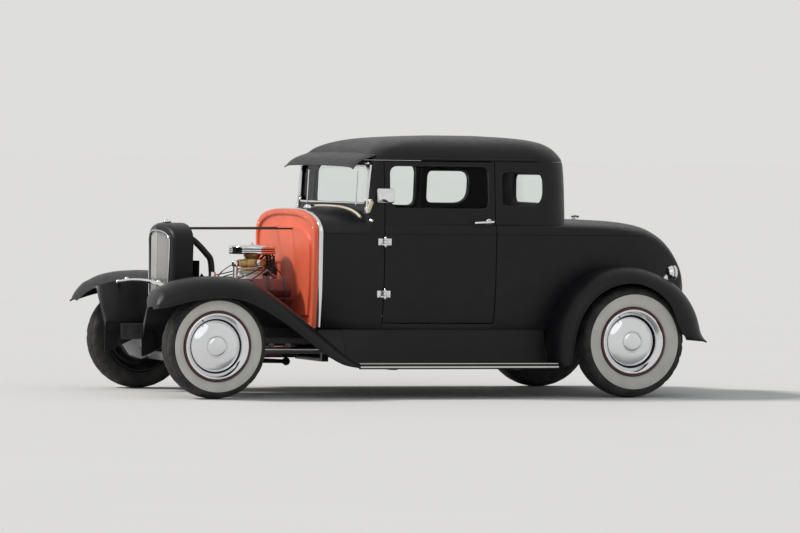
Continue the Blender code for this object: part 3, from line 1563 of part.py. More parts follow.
def tunnel(clearance):
    """The space over the gearbox, larger than it by the clearance."""
    back = gearbox_length * 0.98
    profile = [(0.0, back), (gearbox_tail_radius * 2 + clearance, back),
               (gearbox_radius * 0.6 + clearance, gearbox_length * 0.62),
               (gearbox_radius * 0.6 + clearance, gearbox_length * 0.32),
               (gearbox_radius + clearance, gearbox_length * 0.24), (gearbox_radius + clearance, -overrun / 4),
               (0.0, -overrun / 4)]
    return turned(profile, (0, 1, 0), (0, engine_back_y, crank_z), WHEEL_STEPS)


def make_floor():
    """Floor boards with the gearbox tunnel and the seat riser, trimmed to the inside of the body."""
    low = body_low + fit
    top = low + floor_thickness
    back = rear_axle_y - kick_run * 2 - fit
    floor = box((-body_half_width, firewall_y + fit, low), (body_half_width, back, top))
    floor = common(floor, tub_solid(wall + floor_clearance))
    hump = common(tunnel(tunnel_gap + skin), box((-body_half_width, firewall_y + fit, low + skin),
                                                 (body_half_width, seat_front_y, body_top)))
    floor = join(floor, hump)
    riser_top = top + riser_height
    riser = box((-seat_half_width * 0.95, seat_front_y - skin, low + floor_thickness / 2),
                (seat_half_width * 0.95, back - skin, riser_top))
    narrow = rail_outer - rail_width - skin
    bulkhead_y = seat_front_y + seat_depth + seat_back_thickness + wall
    rest = box((-narrow, back - wall, low + floor_thickness / 2), (narrow, bulkhead_y, riser_top))
    deck_low = rail_top + rear_kick + fit
    bulkhead = box((-narrow, bulkhead_y - skin, low + floor_thickness / 2), (narrow, bulkhead_y, deck_low + skin))
    deck = box((-body_half_width, bulkhead_y - skin * 1.5, deck_low),
               (body_half_width, tail_y - wall * 3, deck_low + skin))
    deck = common(deck, tub_solid(wall + floor_clearance * 4))
    floor = join(join(join(join(floor, riser), rest), bulkhead), deck)
    floor = cut(floor, tunnel(tunnel_gap))
    place(floor, "floor", FRAME_BLACK)


def make_seat():
    low = body_low + floor_thickness + riser_height + fit * 2
    cushion = box((-seat_half_width, seat_front_y, low), (seat_half_width, seat_front_y + seat_depth, low + cushion_height),
                  cushion_height * 0.25)
    place(cushion, "seat_cushion", HIDE)
    y = seat_front_y + seat_depth + fit
    foot = low + fit
    outline = [(y, foot), (y + seat_back_thickness, foot),
               (y + seat_back_thickness + seat_back_lean, foot + seat_back_height),
               (y + seat_back_thickness * 0.3 + seat_back_lean, foot + seat_back_height)]
    back = plate([rounded(outline, (0.0, 0.2, 0.4, 0.5))], -seat_half_width, seat_half_width, "YZ")
    place(back, "seat_back", HIDE)


def make_dashboard():
    y = cab_front_y + wall * 2
    top = windshield_low - wall
    panel = box((-body_half_width, y, top - dash_height), (body_half_width, y + dash_thickness, top), dash_thickness / 4, 1)
    panel = common(panel, body_solid(wall + fit))
    place(panel, "dashboard", SATIN_BLACK)


def make_steering():
    """Steering wheel with three spokes on a raked column that ends at the floor."""
    bpy.ops.mesh.primitive_torus_add(major_segments=grip_steps, minor_segments=6,
                                     major_radius=steering_wheel_radius, minor_radius=steering_grip)
    wheel = bpy.context.active_object
    for k in range(spoke_count):
        spoke = box((column_radius / 2, -steering_grip * 0.8, -steering_grip * 0.4),
                    (steering_wheel_radius, steering_grip * 0.8, steering_grip * 0.3))
        spoke.matrix_world = Matrix.Rotation(math.pi / 2 + math.tau * k / spoke_count, 4, "Z")
        wheel = join(wheel, settled(spoke))
    hub = turned([(0.0, steering_grip), (column_radius * 1.6, steering_grip / 2), (column_radius * 1.6, -steering_grip * 2),
                  (0.0, -steering_grip * 2)], (0, 0, 1), (0, 0, 0), SMALL_STEPS)
    wheel = join(wheel, hub)
    tilt = Matrix.Rotation(math.radians(column_rake - 90), 4, "X")
    wheel.matrix_world = Matrix.Translation((steering_x, steering_y, steering_z)) @ tilt
    wheel = settled(wheel)
    along = Vector((0.0, -math.cos(math.radians(column_rake)), -math.sin(math.radians(column_rake))))
    length = (steering_y - firewall_y) / math.cos(math.radians(column_rake)) + column_radius
    start = Vector((steering_x, steering_y, steering_z))
    column = tube([start, start + along * length], column_radius, 1)
    beyond = box((-body_half_width, firewall_y - overrun, 0.0), (body_half_width, firewall_y, body_top))
    wheel = cut(join(wheel, column), beyond)
    place(wheel, "steering_wheel", FRAME_BLACK)


# Small outside pieces
bar_half_width = fender_half_width * 0.55
bar_y = front_axle_y - 0.205
bar_end_z = fender_height * 0.903
bar_rise = 0.025
mirror_half_length = 0.075
mirror_half_height = 0.042
mirror_depth = 0.018
mirror_turn = 16
mirror_stem_radius = 0.006
mirror_back = 0.075
mirror_stand = 0.100
mirror_z = cab_z(0.204)


def make_small_pieces():
    steps = 6
    route = []
    for k in range(steps + 1):
        t = 2 * k / steps - 1
        route.append((t * bar_half_width, bar_y, bar_end_z + bar_rise * (1 - t * t)))
    bar = tube(route, bar_radius, 1)
    for name, side in SIDES:
        bar = cut(bar, front_fender_sheet(side, skin * 4, fit))
    place(bar, "headlight_bar", CHROME)
    x = tub_half_width(cab_front_y)
    y = cab_front_y + mirror_back
    stem = tube([(x - wall / 2, y, mirror_z), (x + mirror_stand, y - mirror_stem_radius, mirror_z)],
                mirror_stem_radius, 0)
    stem = cut(stem, body_solid(-fit))
    head = plate([rounded(rectangle(-mirror_half_length, mirror_half_length, -mirror_half_height,
                                    mirror_half_height), corner_shares)], -mirror_depth / 2, mirror_depth / 2, "XZ")
    turn = Matrix.Rotation(math.radians(mirror_turn), 4, "Z")
    head.matrix_world = Matrix.Translation((x + mirror_stand, y, mirror_z)) @ turn
    place(join(settled(head), stem), "side_mirror", CHROME)


# The model
make_body()
make_glass()
make_wheels()
make_front_fenders()
make_rear_fenders()
make_tail_lamps()
make_running_boards()
make_frame()
make_engine()
make_gearbox()
make_intake()
make_air_cleaner()
make_distributor()
make_fan()
make_headers()
make_front_axle()
make_springs()
make_knuckles()
make_tie_rod()
make_wishbone()
make_rear_axle()
make_grille_shell()
make_grille()
make_radiator()
make_hose()
make_firewall()
make_cowl_trim()
make_visor()
make_floor()
make_seat()
make_dashboard()
make_steering()
make_small_pieces()
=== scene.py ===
"""A chopped coupe hot rod: its finishes, detailed pieces, studio and camera."""
import json
import math

import bpy
from mathutils import Matrix, Vector
from mathutils.bvhtree import BVHTree


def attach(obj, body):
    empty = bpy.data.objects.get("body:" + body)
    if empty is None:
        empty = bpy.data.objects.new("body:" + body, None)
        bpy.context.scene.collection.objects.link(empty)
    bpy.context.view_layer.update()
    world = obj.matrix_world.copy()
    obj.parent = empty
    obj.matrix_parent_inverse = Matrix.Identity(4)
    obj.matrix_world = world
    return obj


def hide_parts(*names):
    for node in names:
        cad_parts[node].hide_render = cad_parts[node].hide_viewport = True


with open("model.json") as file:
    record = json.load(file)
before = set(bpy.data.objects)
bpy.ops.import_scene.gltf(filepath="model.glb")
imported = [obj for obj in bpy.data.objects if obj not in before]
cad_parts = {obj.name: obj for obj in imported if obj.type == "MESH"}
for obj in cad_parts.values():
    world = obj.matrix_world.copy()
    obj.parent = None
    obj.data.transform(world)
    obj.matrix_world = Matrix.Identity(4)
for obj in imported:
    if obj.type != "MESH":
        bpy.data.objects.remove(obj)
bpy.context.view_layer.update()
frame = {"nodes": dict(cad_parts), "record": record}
nodes = frame["nodes"]

# Main sizes of the car, the same as in its drawing
front_axle_y, rear_axle_y = -1.3645, 1.2645
front_track, rear_track = 1.42, 1.44
front_tyre_radius, rear_tyre_radius = 0.308, 0.336
front_tyre_width, rear_tyre_width = 0.165, 0.185
rim_radius = 0.205
body_half_width, body_top, body_low = 0.665, 1.103, 0.405
roof_top, drip_height = 1.555, 1.405
firewall_y, tail_y = -0.65, 1.7645
body_length = tail_y - firewall_y
cab_front_y, cab_length = -0.382, 1.322
cab_back_y = cab_front_y + cab_length
door_front_y, door_rear_y = cab_front_y + 0.106, cab_front_y + 0.806
door_low, window_low, window_top = 0.44, 1.118, 1.375
SIDES = (("left", 1), ("right", -1))
ALONG, UP = (0, 1, 0), (0, 0, 1)
AHEAD, DOWN = (0, -1, 0), (0, 0, -1)


# Working with one object at a time


def deselect():
    if bpy.context.object and bpy.context.object.mode != "OBJECT":
        bpy.ops.object.mode_set(mode="OBJECT")
    bpy.ops.object.select_all(action="DESELECT")


def select(piece):
    deselect()
    piece.select_set(True)
    bpy.context.view_layer.objects.active = piece
    return piece


def edit_all(piece):
    select(piece)
    bpy.ops.object.mode_set(mode="EDIT")
    bpy.ops.mesh.select_all(action="SELECT")


def leave_edit():
    bpy.ops.object.mode_set(mode="OBJECT")


def apply_place(piece):
    select(piece)
    bpy.ops.object.transform_apply(location=True, rotation=True, scale=True)
    return piece


def tidy_faces(piece, distance=0.00002):
    edit_all(piece)
    bpy.ops.mesh.remove_doubles(threshold=distance)
    bpy.ops.mesh.normals_make_consistent(inside=False)
    leave_edit()
    return piece


def smooth(piece, degrees=34):
    select(piece)
    bpy.ops.object.shade_smooth_by_angle(angle=math.radians(degrees))
    return piece


def mesh_piece(name, points, edges, faces):
    mesh = bpy.data.meshes.new(name)
    mesh.from_pydata([tuple(p) for p in points], edges, faces)
    piece = bpy.data.objects.new(name, mesh)
    bpy.context.scene.collection.objects.link(piece)
    return piece


def finish_piece(piece, name, body, slot, *looks, degrees=34):
    """Name a piece or a list of parts, give it its finishes, and let it move with its body."""
    if isinstance(piece, list):
        piece = join_pieces(piece)
    apply_place(piece)
    piece.name = name
    piece.data.name = name
    if looks:
        piece.data.materials.clear()
        for look in looks:
            piece.data.materials.append(look)
    smooth(piece, degrees)
    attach(piece, body)
    return piece


def plated(parts, name, body="car", degrees=40):
    return finish_piece(parts, name, body, "chrome", CHROME, degrees=degrees)


def join_pieces(pieces):
    deselect()
    for piece in pieces:
        piece.select_set(True)
    bpy.context.view_layer.objects.active = pieces[0]
    bpy.ops.object.join()
    return bpy.context.view_layer.objects.active


def modify(piece, kind, **settings):
    """Add a modifier with its settings and apply it."""
    select(piece)
    bpy.ops.object.modifier_add(type=kind)
    step = piece.modifiers[-1]
    for setting, value in settings.items():
        setattr(step, setting, value)
    bpy.ops.object.modifier_apply(modifier=step.name)
    return piece


def duplicate(piece, name):
    made = bpy.data.objects.new(name, piece.data.copy())
    bpy.context.scene.collection.objects.link(made)
    return made


def mirror_copy(piece, name):
    """The same shape on the other side of the car."""
    made = duplicate(piece, name)
    made.data.transform(Matrix.Scale(-1, 4, (1, 0, 0)))
    return tidy_faces(made)


def combine(piece, tool, operation):
    modify(piece, "BOOLEAN", operation=operation, solver="EXACT", object=tool)
    bpy.data.objects.remove(tool, do_unlink=True)
    return piece


def cut(piece, tool):
    return combine(piece, tool, "DIFFERENCE")


def common(piece, tool):
    return combine(piece, tool, "INTERSECT")


def unite(piece, tool):
    return combine(piece, tool, "UNION")


def block(low, high, bevel=0.0, segments=3):
    """A block between two corners with rounded edges."""
    deselect()
    size = [b - a for a, b in zip(low, high)]
    centre = [(a + b) / 2 for a, b in zip(low, high)]
    bpy.ops.mesh.primitive_cube_add(size=1, location=centre)
    piece = bpy.context.object
    piece.scale = size
    apply_place(piece)
    if bevel:
        edit_all(piece)
        bpy.ops.mesh.bevel(offset=bevel, segments=segments, affect="EDGES")
        leave_edit()
    return piece


def turned(profile, axis, centre, steps=48, closed=False):
    """A profile of (radius, along) points spun about an axis through the centre."""
    points = [(radius, 0.0, along) for radius, along in profile]
    edges = [(i, i + 1) for i in range(len(points) - 1)]
    if closed:
        edges.append((len(points) - 1, 0))
    piece = mesh_piece("turned", points, edges, [])
    edit_all(piece)
    bpy.ops.mesh.spin(steps=steps, angle=math.tau, center=(0, 0, 0), axis=(0, 0, 1))
    leave_edit()
    tidy_faces(piece)
    turn = Vector((0, 0, 1)).rotation_difference(Vector(axis)).to_matrix().to_4x4()
    piece.matrix_world = Matrix.Translation(centre) @ turn
    return apply_place(piece)


def rod(points, radius, sides=3, smooth_path=0, taper=None):
    """A round bar along its points, with closed ends."""
    if smooth_path:
        points = path_through(points, smooth_path)
    curve = bpy.data.curves.new("rod", "CURVE")
    curve.dimensions = "3D"
    curve.bevel_depth = radius
    curve.bevel_resolution = sides
    curve.use_fill_caps = True
    line = curve.splines.new("POLY")
    line.points.add(len(points) - 1)
    for i, (target, point) in enumerate(zip(line.points, points)):
        target.co = (*point, 1.0)
        if taper:
            target.radius = taper[0] + (taper[1] - taper[0]) * i / (len(points) - 1)
    piece = bpy.data.objects.new("rod", curve)
    bpy.context.scene.collection.objects.link(piece)
    select(piece)
    bpy.ops.object.convert(target="MESH")
    return tidy_faces(bpy.context.object)


def path_through(points, steps):
    """Points along a smooth curve that passes through the given ones."""
    made = []
    ends = [points[0]] + list(points) + [points[-1]]
    for i in range(1, len(ends) - 2):
        p0, p1, p2, p3 = (Vector(ends[k]) for k in (i - 1, i, i + 1, i + 2))
        for k in range(steps):
            t = k / steps
            made.append(0.5 * (2 * p1 + (p2 - p0) * t + (2 * p0 - 5 * p1 + 4 * p2 - p3) * t ** 2
                               + (3 * p1 - p0 - 3 * p2 + p3) * t ** 3))
    return made + [Vector(points[-1])]


def plate(outline, near, far, plane, bevel=0.0, segments=2):
    """A flat outline given thickness between two places, with its edges eased."""
    order = {"XY": (0, 1, 2), "XZ": (0, 2, 1), "YZ": (2, 0, 1)}[plane]

    def place(*along):
        return tuple(along[i] for i in order)

    points = [place(a, b, near) for a, b in outline]
    piece = mesh_piece("plate", points, [], [list(range(len(points)))])
    edit_all(piece)
    bpy.ops.mesh.extrude_region_move(TRANSFORM_OT_translate={"value": place(0, 0, far - near)})
    leave_edit()
    tidy_faces(piece)
    if bevel:
        bevel_edges(piece, bevel, segments)
    return piece


def bevel_edges(piece, width, segments=2, degrees=35):
    return modify(piece, "BEVEL", width=width, segments=segments, limit_method="ANGLE",
        angle_limit=math.radians(degrees), harden_normals=False)


def subdivide_surface(piece, levels=2):
    return modify(piece, "SUBSURF", levels=levels, render_levels=levels)


def loft(rings, closed_ends=True, closed_rings=True):
    """A surface through rings of as many points each."""
    count = len(rings[0])
    points = [point for ring in rings for point in ring]
    faces = []
    for r in range(len(rings) - 1):
        for i in range(count if closed_rings else count - 1):
            j = (i + 1) % count
            faces.append((r * count + i, r * count + j, (r + 1) * count + j, (r + 1) * count + i))
    if closed_ends:
        faces.append(list(range(count))[::-1])
        faces.append(list(range((len(rings) - 1) * count, len(rings) * count)))
    piece = mesh_piece("loft", points, [], faces)
    return tidy_faces(piece)


def thicken(piece, thickness, offset=-1.0):
    return modify(piece, "SOLIDIFY", thickness=thickness, offset=offset, use_even_offset=True)


def rounded(points, radius_shares, steps=8):
    """An outline with each corner rounded by its share of the shorter edge beside it."""
    made = []
    count = len(points)
    for i, (corner, share) in enumerate(zip(points, radius_shares)):
        here = Vector(corner)
        before = Vector(points[i - 1]) - here
        after = Vector(points[(i + 1) % count]) - here
        reach = share * min(before.length, after.length)
        start = here + before.normalized() * reach
        end = here + after.normalized() * reach
        for k in range(steps + 1):
            t = k / steps
            made.append(tuple(start * (1 - t) ** 2 + here * 2 * t * (1 - t) + end * t ** 2))
    return made


def rectangle(low_a, high_a, low_b, high_b):
    return [(low_a, low_b), (high_a, low_b), (high_a, high_b), (low_a, high_b)]


# Smooth rows between the rows of a table


def slopes(xs, ys):
    """Slopes of a curve through the points that never overshoots them."""
    steps = [(b - a) for a, b in zip(xs, xs[1:])]
    rises = [(b - a) / h for a, b, h in zip(ys, ys[1:], steps)]
    made = [rises[0]]
    for a, b, h, k in zip(rises, rises[1:], steps, steps[1:]):
        if a * b <= 0:
            made.append(0.0)
        else:
            w1, w2 = 2 * k + h, k + 2 * h
            made.append((w1 + w2) / (w1 / a + w2 / b))
    return made + [rises[-1]]


def between(xs, ys, x):
    if x <= xs[0]:
        return ys[0]
    if x >= xs[-1]:
        return ys[-1]
    rates = slopes(xs, ys)
    i = max(k for k in range(len(xs) - 1) if xs[k] <= x)
    h = xs[i + 1] - xs[i]
    t = (x - xs[i]) / h
    return ((2 * t ** 3 - 3 * t ** 2 + 1) * ys[i] + (t ** 3 - 2 * t ** 2 + t) * h * rates[i]
            + (-2 * t ** 3 + 3 * t ** 2) * ys[i + 1] + (t ** 3 - t ** 2) * h * rates[i + 1])


# Finishes


class Graph:
    """A finish's node tree, with short ways to add and link its nodes."""

    def __init__(self, name):
        self.look = bpy.data.materials.new(name)
        self.look.use_nodes = True
        self.tree = self.look.node_tree
        self.shader = self.tree.nodes["Principled BSDF"]
        self.place = self.node("ShaderNodeTexCoord").outputs["Object"]

    def node(self, kind, **settings):
        made = self.tree.nodes.new(kind)
        for key, value in settings.items():
            setattr(made, key, value)
        return made

    def link(self, source, target):
        self.tree.links.new(source, target)

    def mapped(self, scale, location=(0, 0, 0)):
        made = self.node("ShaderNodeMapping")
        made.inputs["Scale"].default_value = scale
        made.inputs["Location"].default_value = location
        self.link(self.place, made.inputs["Vector"])
        return made.outputs["Vector"]

    def noise(self, scale, stretch=(1, 1, 1), detail=3.0, rough=0.55, seed=0.0):
        made = self.node("ShaderNodeTexNoise")
        made.inputs["Scale"].default_value = scale
        made.inputs["Detail"].default_value = detail
        made.inputs["Roughness"].default_value = rough
        self.link(self.mapped(stretch, (seed, seed * 0.7, seed * 1.3)), made.inputs["Vector"])
        return made.outputs["Fac"]

    def spread(self, source, low, high, start=0.3, end=0.7):
        made = self.node("ShaderNodeMapRange")
        for key, value in (("From Min", start), ("From Max", end), ("To Min", low), ("To Max", high)):
            made.inputs[key].default_value = value
        self.link(source, made.inputs["Value"])
        return made.outputs["Result"]

    def maths(self, operation, a, b=0.0):
        made = self.node("ShaderNodeMath", operation=operation)
        for target, value in zip(made.inputs, (a, b)):
            if isinstance(value, (int, float)):
                target.default_value = value
            else:
                self.link(value, target)
        return made.outputs["Value"]

    def mix(self, share, first, second):
        made = self.node("ShaderNodeMix", data_type="RGBA")
        for target, value in ((made.inputs["Factor"], share), (made.inputs["A"], first),
                (made.inputs["B"], second)):
            if isinstance(value, (int, float)):
                target.default_value = value
            elif isinstance(value, tuple):
                target.default_value = (*value, 1.0)
            else:
                self.link(value, target)
        return made.outputs["Result"]

    def bump(self, heights):
        """Stacked bumps: (height, strength, distance) each."""
        last = None
        for height, strength, distance in heights:
            made = self.node("ShaderNodeBump")
            made.inputs["Strength"].default_value = strength
            made.inputs["Distance"].default_value = distance
            self.link(height, made.inputs["Height"])
            if last:
                self.link(last, made.inputs["Normal"])
            last = made.outputs["Normal"]
        self.link(last, self.shader.inputs["Normal"])

    def set(self, **values):
        for key, value in values.items():
            target = self.shader.inputs[key.replace("_", " ")]
            if isinstance(value, (int, float)):
                target.default_value = value
            elif isinstance(value, tuple):
                target.default_value = (*value, 1.0)
            else:
                self.link(value, target)
        return self.look

    def worn_edges(self, low=0.53, high=0.6):
        """How much a place lies on an outer edge, from the shape's own curvature."""
        shape = self.node("ShaderNodeNewGeometry").outputs["Pointiness"]
        return self.spread(shape, 0.0, 1.0, low, high)


def painted(name, colour, rough, coat=0.0, peel=0.04, dust=0.03, dust_colour=(0.3, 0.28, 0.25), sheen=0.5):
    """Paint with a fine orange peel, uneven sheen and a trace of road dust."""
    g = Graph(name)
    tone = g.noise(3.0, seed=2.0)
    colour_a = tuple(c * 0.86 for c in colour)
    colour_b = tuple(min(c * 1.12, 1.0) for c in colour)
    base = g.mix(g.spread(tone, 0.0, 1.0), colour_a, colour_b)
    film = g.maths("MULTIPLY", g.spread(g.noise(11.0, detail=6.0, seed=5.0), 0.0, 1.0, 0.42, 0.75), dust)
    base = g.mix(film, base, dust_colour)
    level = g.maths("ADD", g.spread(g.noise(26.0, detail=5.0), rough - 0.05, rough + 0.06),
        g.maths("MULTIPLY", film, 1.5))
    g.bump([(g.noise(900.0, detail=1.0), peel, 0.0004), (g.noise(5.0, detail=1.0), 0.03, 0.004)])
    return g.set(Base_Color=base, Roughness=level, Coat_Weight=coat, Coat_Roughness=0.12,
        Specular_IOR_Level=sheen)


def bright(name, colour, rough, smudge=0.06, brushed=None, bump=0.02, pits=0.0):
    """Bare or plated metal with smudges, fine scratches and, where given, a brushed grain."""
    g = Graph(name)
    smears = g.spread(g.noise(9.0, detail=6.0, rough=0.65), 0.0, 1.0, 0.35, 0.75)
    grain = g.noise(700.0, brushed or (1, 1, 1), detail=2.0)
    level = g.maths("ADD", g.maths("MULTIPLY", smears, smudge), g.spread(grain, rough - 0.02, rough + 0.03))
    darker = tuple(c * 0.82 for c in colour)
    base = g.mix(g.maths("MULTIPLY", smears, 0.5), colour, darker)
    if pits:
        spots = g.spread(g.noise(240.0, detail=4.0, seed=3.0), 0.0, pits, 0.6, 0.72)
        base = g.mix(spots, base, (0.1, 0.075, 0.06))
        level = g.maths("ADD", level, spots)
    g.bump([(grain, bump, 0.0003)])
    return g.set(Base_Color=base, Roughness=level, Metallic=1.0)


def rubber(name, colour, rough, grain=420.0, dust=0.1):
    g = Graph(name)
    film = g.maths("MULTIPLY", g.spread(g.noise(14.0, detail=6.0, seed=4.0), 0.0, 1.0, 0.4, 0.72), dust)
    base = g.mix(film, colour, (0.22, 0.2, 0.17))
    g.bump([(g.noise(grain, detail=3.0), 0.25, 0.0006)])
    return g.set(Base_Color=base, Roughness=g.spread(g.noise(30.0), rough - 0.07, rough + 0.08),
        Specular_IOR_Level=0.35)


def cast(name, colour, rough, metallic, grain=300.0, bump=0.35, grime=0.35):
    """Cast metal, plain or painted, with its sandy skin and grime in the hollows."""
    g = Graph(name)
    dirt = g.maths("MULTIPLY", g.spread(g.noise(16.0, detail=7.0, rough=0.7), 0.0, 1.0, 0.42, 0.7), grime)
    base = g.mix(dirt, colour, tuple(c * 0.3 + 0.006 for c in colour))
    base = g.mix(g.maths("MULTIPLY", g.worn_edges(), 0.35), base,
        tuple(min(c * 1.7 + 0.04, 1.0) for c in colour))
    g.bump([(g.noise(grain, detail=4.0), bump, 0.0008)])
    return g.set(Base_Color=base, Roughness=g.spread(dirt, rough, rough + 0.18, 0.0, 0.4), Metallic=metallic)


SATIN = painted("satin_black", (0.006, 0.0066, 0.0082), 0.4, peel=0.05, dust=0.01, sheen=0.26)
FRAME_PAINT = painted("frame_black", (0.012, 0.012, 0.013), 0.36, dust=0.1)
CORAL = painted("coral_primer", (0.88, 0.15, 0.066), 0.42, dust=0.02, dust_colour=(0.25, 0.09, 0.05))
HEADLINER = rubber("roof_lining", (0.085, 0.075, 0.065), 0.9, grain=900.0, dust=0.05)
# Cream: the print on the dials, and a painted highlight on the windshield feet and the rod along the
# windshield base
CREAM_DIAL_PRINT_AND_PAINTED_HIGHLIGHT = painted("cream_dial_print_and_painted_highlight", (0.7, 0.63, 0.5), 0.45, dust=0.04)
RIM_RED = painted("rim_red", (0.1, 0.012, 0.012), 0.28, coat=0.5)
CHROME = bright("chrome", (0.8, 0.81, 0.83), 0.035, smudge=0.05)
STAINLESS = bright("stainless", (0.66, 0.655, 0.64), 0.17, smudge=0.08, brushed=(1, 1, 0.03))
BARE_STEEL = bright("bare_steel", (0.42, 0.42, 0.43), 0.3, smudge=0.12, pits=0.35)
ALLOY = bright("cast_alloy", (0.58, 0.58, 0.57), 0.34, smudge=0.12, bump=0.1, pits=0.15)
BRASS = bright("brass", (0.62, 0.44, 0.2), 0.3, smudge=0.14, pits=0.25)
TYRE_RUBBER = rubber("tyre_rubber", (0.017, 0.017, 0.018), 0.72, dust=0.16)
WHITE_RUBBER = rubber("white_rubber", (0.6, 0.59, 0.55), 0.62, dust=0.18)
HOSE_RUBBER = rubber("hose_rubber", (0.014, 0.014, 0.015), 0.55, dust=0.08)
SEAL_RUBBER = rubber("seal_rubber", (0.01, 0.01, 0.01), 0.6, dust=0.03)
ENGINE_PAINT = cast("engine_maroon", (0.115, 0.022, 0.02), 0.42, 0.0)
BLACK_CAST = cast("black_casting", (0.02, 0.02, 0.021), 0.45, 0.0)


def clear_glass():
    g = Graph("clear_glass")
    film = g.spread(g.noise(7.0, detail=5.0), 0.0, 0.025, 0.45, 0.8)
    return g.set(Base_Color=(0.93, 0.96, 0.95), Roughness=film, Transmission_Weight=1.0, IOR=1.12,
        Specular_IOR_Level=0.5)


def lamp_lens():
    g = Graph("lamp_red")
    g.bump([(g.noise(160.0, detail=2.0), 0.5, 0.002)])
    return g.set(Base_Color=(0.62, 0.012, 0.01), Roughness=g.spread(g.noise(20.0), 0.08, 0.16),
        Transmission_Weight=0.35, Coat_Weight=0.6)


def leather():
    g = Graph("seat_leather")
    cells = g.node("ShaderNodeTexVoronoi", feature="DISTANCE_TO_EDGE")
    cells.inputs["Scale"].default_value = 380.0
    g.link(g.mapped((1, 1, 1)), cells.inputs["Vector"])
    creases = g.spread(cells.outputs["Distance"], 0.0, 1.0, 0.0, 0.12)
    tone = g.spread(g.noise(9.0, detail=6.0), 0.0, 1.0)
    base = g.mix(tone, (0.115, 0.048, 0.027), (0.185, 0.085, 0.05))
    base = g.mix(g.maths("MULTIPLY", g.worn_edges(0.51, 0.56), 0.5), base, (0.26, 0.14, 0.09))
    g.bump([(creases, 0.35, 0.0007), (g.noise(40.0, detail=4.0), 0.1, 0.002)])
    return g.set(Base_Color=base, Roughness=g.spread(g.noise(22.0, detail=4.0), 0.4, 0.56))


def carpet():
    g = Graph("floor_carpet")
    tufts = g.noise(650.0, detail=3.0, rough=0.8)
    base = g.mix(g.spread(tufts, 0.0, 1.0), (0.012, 0.011, 0.011), (0.045, 0.04, 0.038))
    g.bump([(tufts, 0.9, 0.003)])
    return g.set(Base_Color=base, Roughness=0.95, Sheen_Weight=0.3)


GLASS = clear_glass()
LAMP_RED = lamp_lens()
LEATHER = leather()
CARPET = carpet()

# Every drawn part's finish, by the first word in the list that its name holds
looks_by_word = (("steering_wheel", BLACK_CAST), ("glass", GLASS), ("tyre", TYRE_RUBBER),
    ("tail_lamp", LAMP_RED), ("wheel", CHROME), ("firewall", CORAL), ("seat", LEATHER), ("floor", CARPET),
    ("hose", HOSE_RUBBER), ("grille_insert", STAINLESS), ("engine", ENGINE_PAINT), ("gearbox", BLACK_CAST),
    ("radiator", BLACK_CAST), ("header", STAINLESS), ("intake", ALLOY), ("air_cleaner", CHROME),
    ("distributor", BLACK_CAST), ("filler", CHROME), ("mirror", CHROME), ("band", CHROME), ("bar", CHROME),
    ("knuckle", FRAME_PAINT), ("tie_rod", FRAME_PAINT), ("spring", FRAME_PAINT), ("fan", FRAME_PAINT),
    ("frame", FRAME_PAINT), ("axle", FRAME_PAINT), ("wishbone", FRAME_PAINT), ("", SATIN), )


def dress_nodes():
    for name, node in nodes.items():
        node.data.materials.clear()
        node.data.materials.append(next(look for word, look in looks_by_word if word in name))


dress_nodes()

# Body: sections of the tub along its length, as shares of its sizes
# columns: place along the body, half width, top, shoulder height, bottom
tub_section_shares = (
    (0.0, 0.782, 1.0, 0.861, 1.0),
    (0.075, 0.902, 1.011, 0.868, 1.0),
    (0.145, 0.965, 1.02, 0.875, 1.0),
    (0.29, 0.998, 0.997, 0.887, 1.0),
    (0.438, 1.0, 0.979, 0.899, 1.0),
    (0.581, 0.985, 0.966, 0.909, 1.0),
    (0.664, 0.955, 0.961, 0.907, 1.01),
    (0.768, 0.887, 0.956, 0.895, 1.03),
    (0.83, 0.842, 0.95, 0.875, 1.05),
    (0.88, 0.797, 0.936, 0.845, 1.07),
    (0.925, 0.744, 0.898, 0.795, 1.09),
    (0.963, 0.684, 0.828, 0.722, 1.11),
    (0.988, 0.632, 0.743, 0.645, 1.13),
    (1.0, 0.571, 0.68, 0.59, 1.15),
)
tub_foot_share, tub_waist_share, tub_waist_height_share = 0.935, 0.99, 0.45

# Greenhouse: outlines of the cab from the belt up to the roof
# columns: height, front back of the cab front, rear ahead of the cab back, half width, corner radii
cab_level_shares = (
    (-0.328, 0.0, 0.0, 0.96, 0.06, 0.3),
    (-0.128, 0.004, 0.0, 0.958, 0.06, 0.3),
    (0.37, 0.012, 0.0, 0.935, 0.06, 0.31),
    (0.656, 0.018, 0.002, 0.912, 0.07, 0.33),
    (0.79, 0.045, 0.02, 0.865, 0.14, 0.36),
    (0.88, 0.1, 0.048, 0.79, 0.22, 0.38),
    (0.942, 0.185, 0.1, 0.67, 0.28, 0.38),
    (0.979, 0.32, 0.19, 0.48, 0.3, 0.34),
    (1.0, 0.48, 0.33, 0.23, 0.18, 0.2),
)
wall = 0.03


def cab_z(share):
    return body_top + (roof_top - body_top) * share


def finer(table, steps):
    """The table with more rows between its own, every column on its own smooth curve."""
    places = list(range(len(table)))
    columns = list(zip(*table))
    count = (len(table) - 1) * steps
    return [tuple(between(places, column, k / steps) for column in columns) for k in range(count + 1)]


def arc(low, high, steps):
    return [low + (high - low) * k / steps for k in range(steps + 1)]


